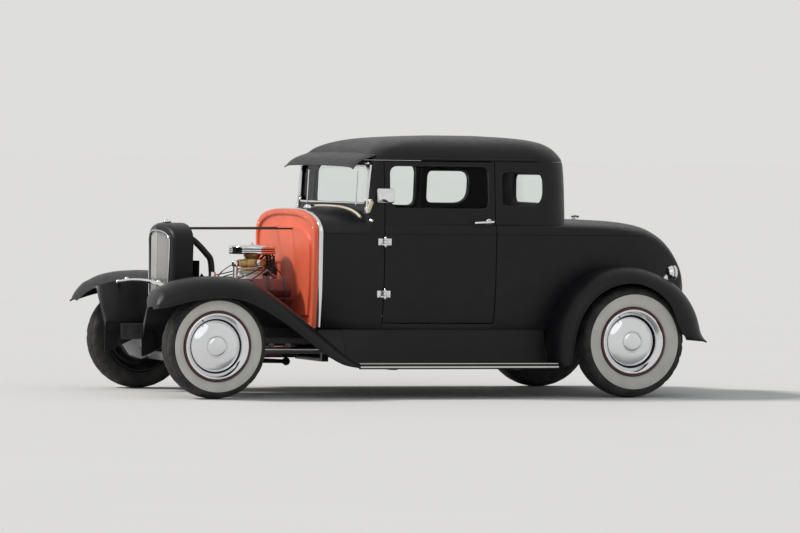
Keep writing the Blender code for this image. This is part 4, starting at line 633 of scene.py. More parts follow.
def tub_ring(row, inset, drop, y, steps):
    _, width, top, shoulder, low = row
    half = body_half_width * width - inset
    top_z, shoulder_z = body_top * top - inset, body_top * shoulder - inset
    low_z = body_low * low - drop
    waist_z = low_z + (shoulder_z - low_z) * tub_waist_height_share
    heights = (low_z, waist_z, shoulder_z)
    widths = (half * tub_foot_share, half * tub_waist_share, half)
    points = [(between(heights, widths, z), z) for z in arc(low_z, shoulder_z, steps)[:-1]]
    for angle in arc(0.0, math.pi / 2, steps * 2):
        points.append((max(half * math.cos(angle), 0.0) ** 0.75 * half ** 0.25,
            shoulder_z + (top_z - shoulder_z) * math.sin(angle) ** 0.75))
    points[-1] = (0.0, top_z)
    right = [(-x, z) for x, z in reversed(points[:-1])]
    return [(x, y, z) for x, z in points + right]


def tub_form(inset=0.0, along=4, across=8):
    rings = []
    rows = finer(tub_section_shares, along)
    drop = 0.2 if inset > 0 else 0.0
    for row in rows:
        y = firewall_y + body_length * row[0]
        if row is rows[0] and inset > 0:
            rings.append(tub_ring(row, inset, drop, y - 0.2, across))
        rings.append(tub_ring(row, inset, drop, y - (inset if row is rows[-1] else 0.0), across))
    return loft(rings)


def cab_ring(row, inset, steps):
    height, front, back, width, front_round, rear_round = row
    z = cab_z(height) - (inset if height > 0.14 else 0.0)
    half = body_half_width * width - inset
    y_front = cab_front_y + cab_length * front + inset
    y_back = cab_back_y - cab_length * back - inset
    r_front = max(body_half_width * front_round - inset, 0.006)
    r_rear = max(body_half_width * rear_round - inset, 0.006)
    points = [(x, y_front) for x in arc(0.0, half - r_front, steps)[:-1]]
    for angle in arc(-math.pi / 2, 0.0, steps):
        points.append((half - r_front + r_front * math.cos(angle),
            y_front + r_front + r_front * math.sin(angle)))
    points += [(half, y) for y in arc(y_front + r_front, y_back - r_rear, steps)[1:-1]]
    for angle in arc(0.0, math.pi / 2, steps + 2):
        points.append((half - r_rear + r_rear * math.cos(angle), y_back - r_rear + r_rear * math.sin(angle)))
    points += [(x, y_back) for x in arc(half - r_rear, 0.0, steps)[1:]]
    return [(x, y, z) for x, y in points + [(-x, y) for x, y in reversed(points[1:-1])]]


def cab_form(inset=0.0, up=5, around=8):
    return loft([cab_ring(row, inset, around) for row in finer(cab_level_shares, up)])


def body_form(inset=0.0, fine=True):
    if fine:
        return unite(tub_form(inset), cab_form(inset))
    return unite(tub_form(inset, 2, 4), cab_form(inset, 2, 5))


def side_prism(outline, side, inner=0.3, outer=1.6):
    ends = sorted((side * body_half_width * inner, side * body_half_width * outer))
    return plate(outline, ends[0], ends[1], "YZ")


# Doors, windows and lid, seen from the side or the front
door_gap, seam = 0.005, 0.005
corners = (0.22, 0.22, 0.22, 0.22)
door_window = rounded(rectangle(door_front_y + 0.03, door_rear_y - 0.032, window_low, window_top), corners)
quarter_front = door_rear_y + 0.042
quarter_window = rounded(rectangle(quarter_front, quarter_front + 0.278, cab_z(0.073), cab_z(0.533)),
    (0.22, 0.48, 0.3, 0.22))
windshield_outline = rounded(rectangle(-0.575, 0.575, cab_z(0.093), cab_z(0.595)), corners)
back_window = rounded(rectangle(-0.29, 0.29, cab_z(0.104), cab_z(0.502)), (0.3, 0.3, 0.3, 0.3))
lid_half_width, lid_front_y, lid_back_y, lid_low = 0.4, 1.08, 1.6895, 0.7
door_outline = rectangle(door_front_y, door_rear_y, door_low, drip_height - 0.007)


def door_hole():
    return rectangle(door_front_y - door_gap, door_rear_y + door_gap, door_low - door_gap,
        drip_height - 0.007 + door_gap)


outer_form = body_form()
surface_tree = BVHTree.FromObject(outer_form, bpy.context.evaluated_depsgraph_get())


def touch(start, direction, out=0.0):
    """The place where a line meets the body's outer skin, moved out by an amount."""
    hit, normal, _, _ = surface_tree.ray_cast(Vector(start), Vector(direction).normalized())
    return hit + normal * out


def side_point(side, y, z, out=0.0):
    return touch((side * 2.0, y, z), (-side, 0, 0), out)


def make_body():
    shell = cut(duplicate(outer_form, "shell"), body_form(wall, False))
    shell = cut(shell, plate(windshield_outline, cab_front_y - 0.2, cab_front_y + 0.2, "XZ"))
    shell = cut(shell, plate(back_window, cab_back_y - 0.2, cab_back_y + 0.1, "XZ"))
    for name, side in SIDES:
        shell = cut(shell, side_prism(door_window, side))
        shell = cut(shell, side_prism(quarter_window, side))
    roof = common(duplicate(shell, "roof_skin"), block((-1, -1, drip_height), (1, 2, 2)))
    lower = common(shell, block((-1, -1, 0), (1, 2, drip_height - 0.0015)))
    lid = common(duplicate(lower, "lid_skin"), block((-lid_half_width, lid_front_y, lid_low),
        (lid_half_width, lid_back_y, 2)))
    lower = cut(lower, block((-lid_half_width - seam, lid_front_y - seam, lid_low - seam),
        (lid_half_width + seam, lid_back_y + seam, 2)))
    panels = [(roof, "roof_panel", "car", "roof"), (lid, "deck_lid_panel", "deck_lid", "deck_lid")]
    for name, side in SIDES:
        door = common(duplicate(lower, "door_skin"), side_prism(door_outline, side))
        lower = cut(lower, side_prism(door_hole(), side))
        panels.append((door, "door_panel_" + name, "door_" + name, "door_" + name))
    split = door_front_y
    cowl = common(duplicate(lower, "cowl_skin"), block((-1, -1, 0), (1, split - 0.0015, 2)))
    rear = common(lower, block((-1, split, 0), (1, 2, 2)))
    panels += [(cowl, "cowl_panel", "car", "cowl"), (rear, "body_rear_panel", "car", "body_rear")]
    for piece, name, body, node in panels:
        tidy_faces(piece, 0.0001)
        bevel_edges(piece, 0.0025, 2, 50)
        finish_piece(piece, name, body, "body_paint", SATIN, degrees=30)
        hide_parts(node)


make_body()

# Fenders: rows of the front fender from its tip back to the running board
# columns: place from the axle, inner edge, crown and outer edge across, how much of the apron is
# there, inner edge, crown and lip height
fender_half_width, fender_height = 0.855, 0.715
fender_front_reach, fender_rear_reach = 0.4, 0.858
front_fender_shares = (
    (-1.0, 0.8, 0.86, 0.92, 0.02, 0.742, 0.755, 0.735),
    (-0.94, 0.7, 0.83, 0.958, 0.03, 0.806, 0.83, 0.745),
    (-0.85, 0.625, 0.815, 0.978, 0.03, 0.858, 0.893, 0.752),
    (-0.82, 0.605, 0.813, 0.981, 0.04, 0.867, 0.904, 0.755),
    (-0.79, 0.592, 0.812, 0.984, 1.0, 0.875, 0.912, 0.759),
    (-0.6, 0.555, 0.809, 0.994, 1.0, 0.908, 0.96, 0.79),
    (-0.3, 0.535, 0.807, 1.0, 1.0, 0.928, 0.992, 0.823),
    (0.0, 0.535, 0.807, 1.0, 1.0, 0.926, 1.0, 0.837),
    (0.13, 0.535, 0.807, 1.0, 1.0, 0.912, 0.991, 0.82),
    (0.25, 0.535, 0.807, 1.0, 1.0, 0.882, 0.965, 0.768),
    (0.34, 0.537, 0.807, 1.0, 1.0, 0.842, 0.917, 0.712),
    (0.45, 0.54, 0.807, 1.0, 1.0, 0.764, 0.826, 0.632),
    (0.56, 0.548, 0.807, 1.0, 1.0, 0.672, 0.73, 0.54),
    (0.67, 0.565, 0.81, 1.0, 1.0, 0.572, 0.622, 0.44),
    (0.79, 0.62, 0.82, 1.0, 1.0, 0.465, 0.508, 0.345),
    (0.9, 0.69, 0.836, 1.0, 1.0, 0.362, 0.392, 0.284),
    (1.0, 0.745, 0.85, 1.0, 1.0, 0.292, 0.297, 0.262),
)
# Rear fender rows round the wheel opening: turn, inner edge, crown, outer edge, crown and lip radius
opening_radius, opening_forward = 0.355, 0.04
rear_fender_shares = (
    (-19, 0.7, 0.85, 1.0, 1.375, 1.16),
    (-6, 0.69, 0.85, 1.0, 1.31, 1.06),
    (15, 0.67, 0.845, 1.0, 1.275, 1.01),
    (40, 0.64, 0.84, 1.0, 1.265, 1.0),
    (65, 0.615, 0.84, 1.0, 1.268, 1.0),
    (90, 0.59, 0.84, 1.0, 1.268, 1.0),
    (115, 0.565, 0.835, 1.0, 1.28, 0.985),
    (138, 0.55, 0.83, 1.0, 1.36, 0.96),
    (158, 0.545, 0.825, 0.995, 1.415, 0.93),
    (172, 0.55, 0.82, 0.98, 1.44, 0.985),
    (180, 0.57, 0.815, 0.95, 1.505, 1.44),
)
frame_front_y, rail_outer, nose_half_width, rail_top = -1.5995, 0.39, 0.33, 0.4047
skin, fit = 0.006, 0.0003


def tub_half_width(y):
    along = (y - firewall_y) / body_length
    return body_half_width * between([r[0] for r in tub_section_shares], [r[1] for r in tub_section_shares],
        along)


def rail_half_width(y):
    share = (y - frame_front_y) / (firewall_y - frame_front_y)
    return nose_half_width + (rail_outer - nose_half_width) * min(max(share, 0.0), 1.0)


def apron_feet(y, inner, amount):
    if y < firewall_y:
        foot = rail_half_width(y) + fit + skin
        feet = [(foot, rail_top - 0.06), (foot, rail_top)]
    else:
        foot = tub_half_width(y) * tub_foot_share - wall / 2
        feet = [(foot, body_low - fit - skin), (foot + skin, body_low - fit - skin)]
    return [(inner[0] + (x - inner[0]) * amount, inner[1] + (z - inner[1]) * amount) for x, z in feet]


def fender_section(inner, crown, outer):
    (x_in, z_in), (x_top, z_top), (x_out, z_lip) = inner, crown, outer
    points = [(x_in + (x_top - x_in) * t, z_in + (z_top - z_in) * math.sin(math.pi / 2 * t))
        for t in arc(0, 1, 6)]
    for angle in arc(0.0, math.pi / 2, 12)[1:]:
        points.append((x_top + (x_out - x_top) * math.sin(angle), z_lip + (z_top - z_lip) * math.cos(angle)))
    return points


def fender_sheet(rows):
    piece = loft(rows, closed_ends=False, closed_rings=False)
    return thicken(piece, 0.005)


def front_fender_rows():
    rows = []
    for row in finer(front_fender_shares[:4], 5)[:-1] + finer(front_fender_shares[3:5], 1)[:-1] \
            + finer(front_fender_shares[4:], 4):
        along, x_in, x_top, x_out, apron, z_in, z_top, z_lip = row
        reach = fender_front_reach if along < 0 else fender_rear_reach
        y = front_axle_y + along * reach
        w, h = fender_half_width, fender_height
        inner = (x_in * w, z_in * h)
        feet = apron_feet(y, inner, apron)
        side_run = [tuple(Vector(feet[1]).lerp(Vector(inner), t)) for t in arc(0, 1, 6)[1:-1]]
        across = feet + side_run + fender_section(inner, (x_top * w, z_top * h), (x_out * w, z_lip * h))
        rows.append([(x, y, z) for x, z in across])
    return rows


def rear_fender_rows():
    centre_y, centre_z = rear_axle_y - opening_forward, rear_tyre_radius
    rows = []
    for turn, x_in, x_top, x_out, crown, lip in finer(rear_fender_shares, 5):
        w, r = fender_half_width, opening_radius
        angle = math.radians(turn)
        across = fender_section((x_in * w, crown * r - skin), (x_top * w, crown * r), (x_out * w, lip * r))
        rows.append([(x, centre_y - reach * math.cos(angle), centre_z + reach * math.sin(angle)) for x,
            reach in across])
    return rows


def make_fenders():
    for end, rows in (("front", front_fender_rows()), ("rear", rear_fender_rows())):
        left = fender_sheet(rows)
        lip = rod([row[-1] for row in rows], 0.0055, 3)
        left = join_pieces([left, lip])
        if end == "rear":
            left = cut(left, body_form(-0.0004, False))
        right = mirror_copy(left, "right_side")
        for piece, side in ((left, "left"), (right, "right")):
            finish_piece(piece, end + "_fender_panel_" + side, "car", "body_paint", SATIN, degrees=36)
            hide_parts(end + "_fender_" + side)


make_fenders()


# Tyres with a ribbed, zigzag tread and a raised white band, on steel rims with trim rings and caps


def tyre_section(radius, width):
    """(radius, along, zigzag, white) points from the outer bead over the tread to the inner bead."""
    bead, half = rim_radius + 0.0006, width / 2
    wall_shares = ((0.0, 0.64), (0.03, 0.75), (0.07, 0.815), (0.12, 0.86), (0.2, 0.925), (0.3, 0.972),
        (0.41, 0.998), (0.52, 1.0), (0.6, 0.99), (0.612, 0.978), (0.63, 0.978), (0.642, 0.986), (0.72, 0.962),
        (0.8, 0.915), (0.86, 0.858), (0.9, 0.8))
    side_run = []
    for up, out in wall_shares:
        white = 0.02 <= up < 0.605
        side_run.append((bead + (radius - bead) * up, half * out + (0.0012 if white else 0.0), 0.0, white))

    def crown(a):
        return radius - (radius - bead) * 0.075 * (abs(a) / (0.74 * half)) ** 2.4

    run = side_run + [(crown(0.72 * half), 0.735 * half, 0.0, False),
        (crown(0.69 * half), 0.69 * half, 0.0, False)]
    for place in (0.48, 0.16, -0.16, -0.48):
        for shift, deep in ((0.0034, 0.0), (0.0022, 0.0062), (-0.0022, 0.0062), (-0.0034, 0.0)):
            a = place * half + shift
            run.append((crown(a) - deep, a, 0.0024, False))
    run += [(crown(0.69 * half), -0.69 * half, 0.0, False), (crown(0.72 * half), -0.735 * half, 0.0, False)]
    return run + [(r, -min(a, half), 0.0, False) for r, a, _, _ in reversed(side_run)]


def make_tyre(end, y, track, radius, width):
    section = tyre_section(radius, width)
    steps = 192
    points, faces = [], []
    for k in range(steps):
        angle = math.tau * k / steps
        swing = 1 if k % 6 < 3 else -1
        for r, a, zigzag, _ in section:
            lug = 0.0
            if 0.69 * width / 2 <= abs(a) <= 0.87 * width / 2 and r > radius * 0.93 and k % 8 > 5:
                lug = 0.0042
            r -= lug
            points.append((a + zigzag * swing, r * math.cos(angle), r * math.sin(angle)))
    count = len(section)
    for k in range(steps):
        for i in range(count):
            j, m = (i + 1) % count, (k + 1) % steps
            faces.append((k * count + i, k * count + j, m * count + j, m * count + i))
    left = mesh_piece("tyre", points, [], faces)
    left.data.materials.append(TYRE_RUBBER)
    left.data.materials.append(WHITE_RUBBER)
    for face in left.data.polygons:
        i = face.index % count
        face.material_index = 1 if section[i][3] and section[(i + 1) % count][3] else 0
    tidy_faces(left)
    left.location = (track / 2, y, radius)
    apply_place(left)
    right = mirror_copy(left, "right_tyre")
    for piece, side in ((left, "left"), (right, "right")):
        finish_piece(piece, f"tyre_tread_{end}_{side}", f"wheel_{end}_{side}", "tyre", degrees=38)
        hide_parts(f"tyre_{end}_{side}")


def thick_profile(points, depth):
    """A closed section: the points, and the same points set back along the axle."""
    return points + [(r, a - depth) for r, a in reversed(points)]


def make_wheel(end, y, track, radius, width):
    half = width / 2 * 0.8
    face = half * 0.3
    centre, axis = (track / 2, y, radius), (1, 0, 0)
    outer = [(0.205, half - 0.01), (0.205, half), (0.203, half + 0.0025), (0.199, half + 0.0025),
        (0.1965, half - 0.002), (0.1945, half - 0.014), (0.19, half - 0.019), (0.178, face + 0.004),
        (0.175, face - 0.004), (0.175, -half * 0.45), (0.19, -half + 0.019), (0.1945, -half + 0.014),
        (0.1965, -half + 0.002), (0.199, -half - 0.0025), (0.203, -half - 0.0025), (0.205, -half)]
    rim = turned(outer, axis, centre, 96, closed=True)
    disc = turned(thick_profile([(0.1765, face - 0.004), (0.17, face - 0.001), (0.156, face - 0.004),
        (0.13, face + 0.006), (0.095, face + 0.004), (0.055, face - 0.004), (0.03, face - 0.004)], 0.004),
        axis, centre, 96, closed=True)
    hub = turned([(0.0, face - 0.01), (0.0545, face - 0.01), (0.0545, face - 0.0295), (0.0, face - 0.0295)],
        axis, centre, 40)
    painted_part = finish_piece([rim, disc, hub], f"rim_steel_{end}_left", f"wheel_{end}_left", "chrome",
        FRAME_PAINT, RIM_RED, degrees=30)
    for flat in painted_part.data.polygons:
        flat.material_index = 1 if flat.center.x > track / 2 + face + 0.002 else 0
    ring = turned([(0.1935, half - 0.0105), (0.1948, half - 0.004), (0.1925, half + 0.0015),
        (0.188, half + 0.0032), (0.182, half + 0.0018), (0.174, half - 0.006), (0.167, half - 0.0145),
        (0.163, half - 0.019), (0.1612, half - 0.021), (0.16, half - 0.025), (0.1585, half - 0.031),
        (0.16, half - 0.033), (0.164, half - 0.0235), (0.174, half - 0.012), (0.185, half - 0.005)], axis,
        centre, 112, closed=True)
    rise = [(0.1555, -0.004), (0.157, 0.002), (0.1552, 0.0075), (0.15, 0.0125), (0.142, 0.0175),
        (0.13, 0.0232), (0.115, 0.0288), (0.098, 0.0335), (0.08, 0.037), (0.0665, 0.0388), (0.0645, 0.0362),
        (0.0615, 0.0362), (0.06, 0.04), (0.054, 0.0452), (0.044, 0.0492), (0.03, 0.0522), (0.015, 0.0536),
        (0.0, 0.054)]
    cap = turned([(r, face + a) for r, a in rise] + [(0.0, face + 0.05), (0.06, face + 0.034),
        (0.148, face - 0.002)], axis, centre, 112)
    bright_part = finish_piece([ring, cap], f"wheel_cap_{end}_left", f"wheel_{end}_left", "chrome", CHROME,
        degrees=28)
    stem = rod([(0, 0, 0), (0.018, -0.004, 0), (0.026, -0.01, 0)], 0.0032, 3)
    stem.location = (track / 2 + half - 0.02, y - 0.1685 * 0.5, radius + 0.1685 * 0.866)
    valve = finish_piece(stem, f"valve_stem_{end}_left", f"wheel_{end}_left", "tyre", HOSE_RUBBER)
    for piece, kind, slot in ((painted_part, "rim_steel", "chrome"), (bright_part, "wheel_cap", "chrome"),
                              (valve, "valve_stem", "tyre")):
        twin = mirror_copy(piece, "right_side")
        finish_piece(twin, f"{kind}_{end}_right", f"wheel_{end}_right", slot)
        if kind == "rim_steel":
            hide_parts(f"wheel_{end}_left")
            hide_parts(f"wheel_{end}_right")


for wheel_sizes in (("front", front_axle_y, front_track, front_tyre_radius, front_tyre_width),
                    ("rear", rear_axle_y, rear_track, rear_tyre_radius, rear_tyre_width)):
    make_tyre(*wheel_sizes)
    make_wheel(*wheel_sizes)


# Running boards: a ribbed mat with a bright edge on each, and the apron up to the body
board_top, board_depth, board_lip = 0.206, 0.03, 0.014


def board_rear():
    reach = max(crown * math.cos(math.radians(turn)) for turn, _, _, _, crown, _ in rear_fender_shares)
    return rear_axle_y - opening_forward - opening_radius * reach - fit


def make_running_boards():
    front, rear = front_axle_y + fender_rear_reach + fit, board_rear()
    outer, foot = fender_half_width, body_half_width - 0.025
    rings = []
    for y in arc(front, rear, 28):
        top = tub_half_width(y) * tub_foot_share - wall / 2
        curve = [(foot + skin, board_top + 0.014), (foot + skin + 0.004, board_top + 0.004),
            (foot + skin + 0.014, board_top)]
        outline = [(outer - 0.004, board_top - board_depth), (outer, board_top - board_depth + 0.004),
            (outer, board_top - 0.005), (outer - 0.0015, board_top - 0.0015), (outer - 0.005, board_top)]
        outline += curve[::-1]
        outline += [(top + skin + (foot - top) * (1 - t),
            board_top + 0.014 + (body_low - fit - board_top - 0.014) * t) for t in (0.25, 0.5, 0.75, 1.0)]
        outline += [(top, body_low - fit), (foot, board_top - board_depth / 2),
            (outer - board_lip, board_top - board_depth / 2), (outer - board_lip, board_top - board_depth)]
        rings.append([(x, y, z) for x, z in outline])
    board = finish_piece(loft(rings), "running_board_panel_left", "car", "body_paint", SATIN, degrees=36)
    strip = block((outer - 0.026, front + 0.004, board_top - 0.001),
        (outer - 0.0045, rear - 0.004, board_top + 0.0055), 0.0024)
    edge = block((outer - 0.001, front + 0.004, board_top - 0.0225),
        (outer + 0.0035, rear - 0.004, board_top - 0.0125), 0.0015)
    trim = finish_piece([strip, edge], "board_trim_left", "car", "chrome", STAINLESS)
    inner, outside = foot + 0.026, outer - 0.031
    mat = [block((inner, front + 0.01, board_top - 0.001), (outside, rear - 0.01, board_top + 0.0028), 0.0012,
        1)]
    ribs = 15
    for k in range(ribs):
        x = inner + (outside - inner) * (k + 0.5) / ribs
        mat.append(block((x - 0.0032, front + 0.016, board_top + 0.002),
            (x + 0.0032, rear - 0.016, board_top + 0.0062), 0.0014, 1))
    ribbed = finish_piece(mat, "board_mat_left", "car", "rubber", SEAL_RUBBER)
    for piece, kind, slot in ((board, "running_board_panel", "body_paint"), (trim, "board_trim", "chrome"),
                              (ribbed, "board_mat", "rubber")):
        finish_piece(mirror_copy(piece, "right_side"), kind + "_right", "car", slot)
    for name, _ in SIDES:
        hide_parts("running_board_" + name)


make_running_boards()


# Drawn parts that only need their facets smoothed and their edges eased


def refined(name, bevel=0.0012, degrees=32, look=None):
    node = nodes[name]
    piece = duplicate(node, name + "_eased")
    piece.matrix_world = node.matrix_world.copy()
    apply_place(piece)
    edit_all(piece)
    bpy.ops.mesh.remove_doubles(threshold=0.00005)
    bpy.ops.mesh.dissolve_limited(angle_limit=math.radians(0.6))
    bpy.ops.mesh.normals_make_consistent(inside=False)
    leave_edit()
    if bevel:
        bevel_edges(piece, bevel, 2, 40)
    looks = (look,) if look else ()
    finish_piece(piece, name + "_eased", body_of[name], slot_of[name], *looks, degrees=degrees)
    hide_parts(name)
    return piece


body_of = {node: body for body, held in frame["record"]["behaviour"]["bodies"].items() for node in held}
slot_of = {row["node"]: row["material_slot"] for row in frame["record"]["subparts"]}


# Grille: a deep pressed shell with a bright bead round its opening, upright bars, and the radiator
shell_half_width, shell_foot_half_width = 0.238, 0.205
shell_low, shell_shoulder, shell_top = 0.35, 0.9, 1.015
shell_front_y, shell_depth, grille_peak = front_axle_y - 0.095, 0.125, 0.03
shell_roll, shell_wall = 0.028, 0.005


def shell_outline(inset, steps=40):
    """Front view of the shell as (x, z), from its left foot over the top to the right."""
    half = shell_half_width - inset
    foot = [(shell_foot_half_width - inset, shell_low + inset)]
    arch = []
    for angle in arc(0.0, math.pi, steps):
        across, up = math.cos(angle), math.sin(angle)
        arch.append((math.copysign(abs(across) ** 0.85, across) * half,
            shell_shoulder + (shell_top - inset - shell_shoulder) * max(up, 0.0) ** 0.85))
    return foot + arch + [(-foot[0][0], foot[0][1]), (0.0, foot[0][1])]


def peaked(x, peak=grille_peak):
    return peak * (1 - abs(x) / shell_half_width)


def shell_ring(inset, back, peak):
    return [(x, shell_front_y + back - peaked(x, peak), z) for x, z in shell_outline(inset)]


def arch_height(x, inset):
    half = shell_half_width - inset
    angle = math.acos(min(abs(x) / half, 1.0) ** (1 / 0.85))
    return shell_shoulder + (shell_top - inset - shell_shoulder) * math.sin(angle) ** 0.85


def make_grille_shell():
    roll = [(shell_roll * (1 - math.cos(t)) * 0.9, 0.022 * (1 - math.sin(t)),
        grille_peak * math.sin(t) ** 1.5) for t in arc(0.0, math.pi / 2, 7)]
    outer = [(0.0, back, 0.0) for back in (shell_depth, 0.09, 0.05)] + roll
    outer += [(0.034, 0.0, grille_peak), (0.046, 0.001, grille_peak), (0.048, 0.003, grille_peak)]
    inner = [(0.048, 0.007, grille_peak), (0.03, 0.007, grille_peak), (shell_wall, 0.027, 0.0),
        (shell_wall, shell_depth, 0.0)]
    rings = [shell_ring(*row) for row in outer + inner]
    shell = loft(rings + rings[:1], closed_ends=False)
    finish_piece(shell, "grille_shell_panel", "car", "body_paint", SATIN, degrees=40)
    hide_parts("grille_shell")
    edge = [Vector(p) + Vector((0, -0.0045, 0)) for p in shell_ring(0.0455, 0.0, grille_peak)[1:-2]]
    bead = rod(edge, 0.0036, 3)
    foot = [Vector(p) + Vector((0, -0.0035, 0)) for p in shell_ring(0.0455, 0.0, grille_peak)]
    lower = rod([foot[1], foot[0], foot[-1], foot[-2], foot[-3]], 0.0036, 3)
    plated([bead, lower], "grille_bead", degrees=50)
    place = (0, shell_front_y + shell_depth * 0.3, shell_top)
    neck = [(0.0, -0.004), (0.017, -0.004), (0.0175, 0.0), (0.02, 0.0005), (0.0255, 0.002), (0.0268, 0.0045),
        (0.0268, 0.008), (0.025, 0.0105), (0.02, 0.0125), (0.012, 0.0138), (0.007, 0.015), (0.0072, 0.0185),
        (0.005, 0.0215), (0.0, 0.0224)]
    cap = turned(neck[::-1], UP, place, 48)
    ears = block((-0.03, place[1] - 0.0045, shell_top + 0.003), (0.03, place[1] + 0.0045, shell_top + 0.0105),
        0.003)
    plated([cap, ears], "radiator_cap")


def make_grille_bars():
    inset = shell_roll + shell_wall
    opening_half = shell_foot_half_width - inset - 0.006
    count = 39
    near = shell_front_y + shell_wall + fit
    bars = []
    for k in range(count):
        x = opening_half * (2 * k / (count - 1) - 1)
        middle = k == count // 2
        half = 0.0042 if middle else 0.0017
        front = near - peaked(x) - (0.003 if middle else 0.0)
        bars.append(block((x - half, front, shell_low + inset + 0.002),
            (x + half, front + 0.0085, arch_height(x, inset) - 0.003), half * 0.6, 2))
    for z in (0.475, 0.6, 0.725, 0.85):
        for side in (1, -1):
            run = [(side * x, near - peaked(x) + 0.0092, z) for x in (0.0, opening_half + 0.004)]
            bars.append(rod(run, 0.0022, 1))
    frame_outer, frame_inner = shell_ring(inset, 0, grille_peak), shell_ring(inset + 0.007, 0, grille_peak)
    back = [[(x, y + shell_wall + depth, z) for x, y, z in ring] for ring, depth in
            ((frame_outer, 0.001), (frame_inner, 0.001), (frame_inner, 0.01), (frame_outer, 0.01))]
    bars.append(loft(back + back[:1], closed_ends=False))
    grille = finish_piece(bars, "grille_bars", "car", "chrome", STAINLESS, degrees=40)
    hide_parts("grille_insert")


def make_radiator():
    refined("radiator", 0.0012)
    near = shell_front_y + 0.03
    fins = []
    for k in range(58):
        z = 0.372 + k * 0.0098
        fins.append(block((-0.196, near - 0.004, z), (0.196, near - 0.0005, z + 0.0028)))
    finish_piece(fins, "radiator_fins", "car", "steel", BLACK_CAST)


def clamp(place, axis, radius):
    band = turned([(radius + 0.0004, -0.006), (radius + 0.0022, -0.006), (radius + 0.003, -0.003),
        (radius + 0.003, 0.003), (radius + 0.0022, 0.006), (radius + 0.0004, 0.006)], axis, place, 32,
        closed=True)
    screw = rod([Vector(place) + Vector((0.01, 0, radius + 0.005)),
        Vector(place) + Vector((-0.01, 0, radius + 0.005))], 0.0035, 2)
    return join_pieces([band, screw])


def make_hose():
    outlet, drop, r = shell_front_y + 0.1348, front_axle_y + 0.2304, 0.019
    route = [(0, outlet, 0.919), (0, outlet + 0.0475, 0.919), (0, outlet + 0.0836, 0.9),
        (0, drop - 0.0418, 0.8354), (0, drop - 0.0095, 0.786), (0, drop, 0.6563), (0, drop, 0.5804)]
    hose = finish_piece(rod(route, r, 6, 8), "upper_hose", "car", "rubber", HOSE_RUBBER, degrees=50)
    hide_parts("radiator_hose")
    clamps = join_pieces([clamp((0, outlet + 0.014, 0.919), ALONG, r), clamp((0, drop, 0.604), UP, r)])
    plated(clamps, "hose_clamps")


make_grille_shell()
make_grille_bars()
make_radiator()
make_hose()


# Firewall, bright cowl band and filler cap
engine_front_y, engine_back_y, crank_z = -1.1645, -0.7245, 0.365


def tunnel_form(clearance):
    profile = [(0.0, 0.549), (0.084 + clearance, 0.549), (0.09 + clearance, 0.347), (0.09 + clearance, 0.179),
        (0.15 + clearance, 0.134), (0.15 + clearance, -0.05), (0.0, -0.05)]
    return turned(profile, ALONG, (0, engine_back_y, crank_z), 56)


def make_firewall():
    row = tub_section_shares[0]
    back = firewall_y - fit
    steps = [(0.0, 0.0), (0.0, 0.0235), (0.0008, 0.0252), (0.0025, 0.026), (0.0275, 0.026), (0.0295, 0.0252),
        (0.031, 0.023), (0.0345, 0.0145), (0.0365, 0.0125), (0.04, 0.012), (0.083, 0.012), (0.086, 0.0128),
        (0.0885, 0.0175), (0.09, 0.0235), (0.092, 0.0255), (0.0955, 0.026)]
    wallboard = loft([tub_ring(row, inset, -inset * 0.8, back - ahead, 10) for inset, ahead in steps])
    wallboard = cut(wallboard, tunnel_form(0.012))
    finish_piece(wallboard, "firewall_pressing", "car", "firewall_paint", CORAL, degrees=45)
    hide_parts("firewall")
    edge = tub_ring(row, 0.015, -0.012, back - 0.026, 10)
    screws = []
    length = 0.0
    for near, far in zip(edge, edge[1:]):
        length += (Vector(far) - Vector(near)).length
        if length > 0.115:
            length = 0.0
            screws.append(turned([(0.0, 0.003), (0.003, 0.0024), (0.0048, 0.0008), (0.005, -0.001),
                (0.0, -0.001)], AHEAD, far, 14))
    finish_piece(screws, "firewall_screws", "car", "chrome", CHROME)


def make_cowl_trim():
    near, far = tub_section_shares[0], tub_section_shares[1]
    rows = []
    for back, out in ((-0.0003, 0.0004), (-0.0003, 0.004), (0.003, 0.0058), (0.011, 0.0066), (0.019, 0.0058),
            (0.0223, 0.0034), (0.0223, 0.0004)):
        share = max(back, 0.0) / (body_length * (far[0] - near[0]))
        row = tuple(a + (b - a) * share for a, b in zip(near, far))
        rows.append(tub_ring(row, -out, -skin, firewall_y + max(back, 0.0003), 12))
    band = loft(rows + rows[:1], closed_ends=False)
    band = cut(band, block((-1, -1, 0.0), (1, 0, body_low + 0.004)))
    plated(band, "cowl_band_trim", degrees=50)
    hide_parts("cowl_band")
    place = touch((0, firewall_y + 0.13, 2), DOWN)
    profile = [(0.0, 0.0215), (0.012, 0.0208), (0.0235, 0.018), (0.031, 0.0125), (0.0338, 0.007),
        (0.0338, 0.002), (0.038, 0.0012), (0.0392, -0.002), (0.0, -0.002)]
    cap = turned(profile, UP, place, 48)
    plated(cap, "cowl_filler_cap")
    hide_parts("filler_cap")


make_firewall()
make_cowl_trim()


# Glass, rubbers, windshield frame and visor


def make_glass():
    pane = cut(body_form(0.012), body_form(0.017, False))
    tools = [("windshield_glass", "car", plate(windshield_outline, cab_front_y - 0.2, cab_front_y + 0.2,
        "XZ")), ("back_glass", "car", plate(back_window, cab_back_y - 0.2, cab_back_y + 0.1, "XZ"))]
    for name, side in SIDES:
        tools.append(("door_glass_" + name, "door_" + name, side_prism(door_window, side)))
        tools.append(("quarter_glass_" + name, "car", side_prism(quarter_window, side)))
    for name, body, tool in tools:
        clear = common(duplicate(pane, name), tool)
        finish_piece(clear, name + "_pane", body, "glass", GLASS, degrees=30)
        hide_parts(name)
    bpy.data.objects.remove(pane, do_unlink=True)


def ring_of(points, radius, sides=2):
    """A rubber or bead that runs round a closed outline."""
    return rod(list(points) + [points[0], points[1]], radius, sides)


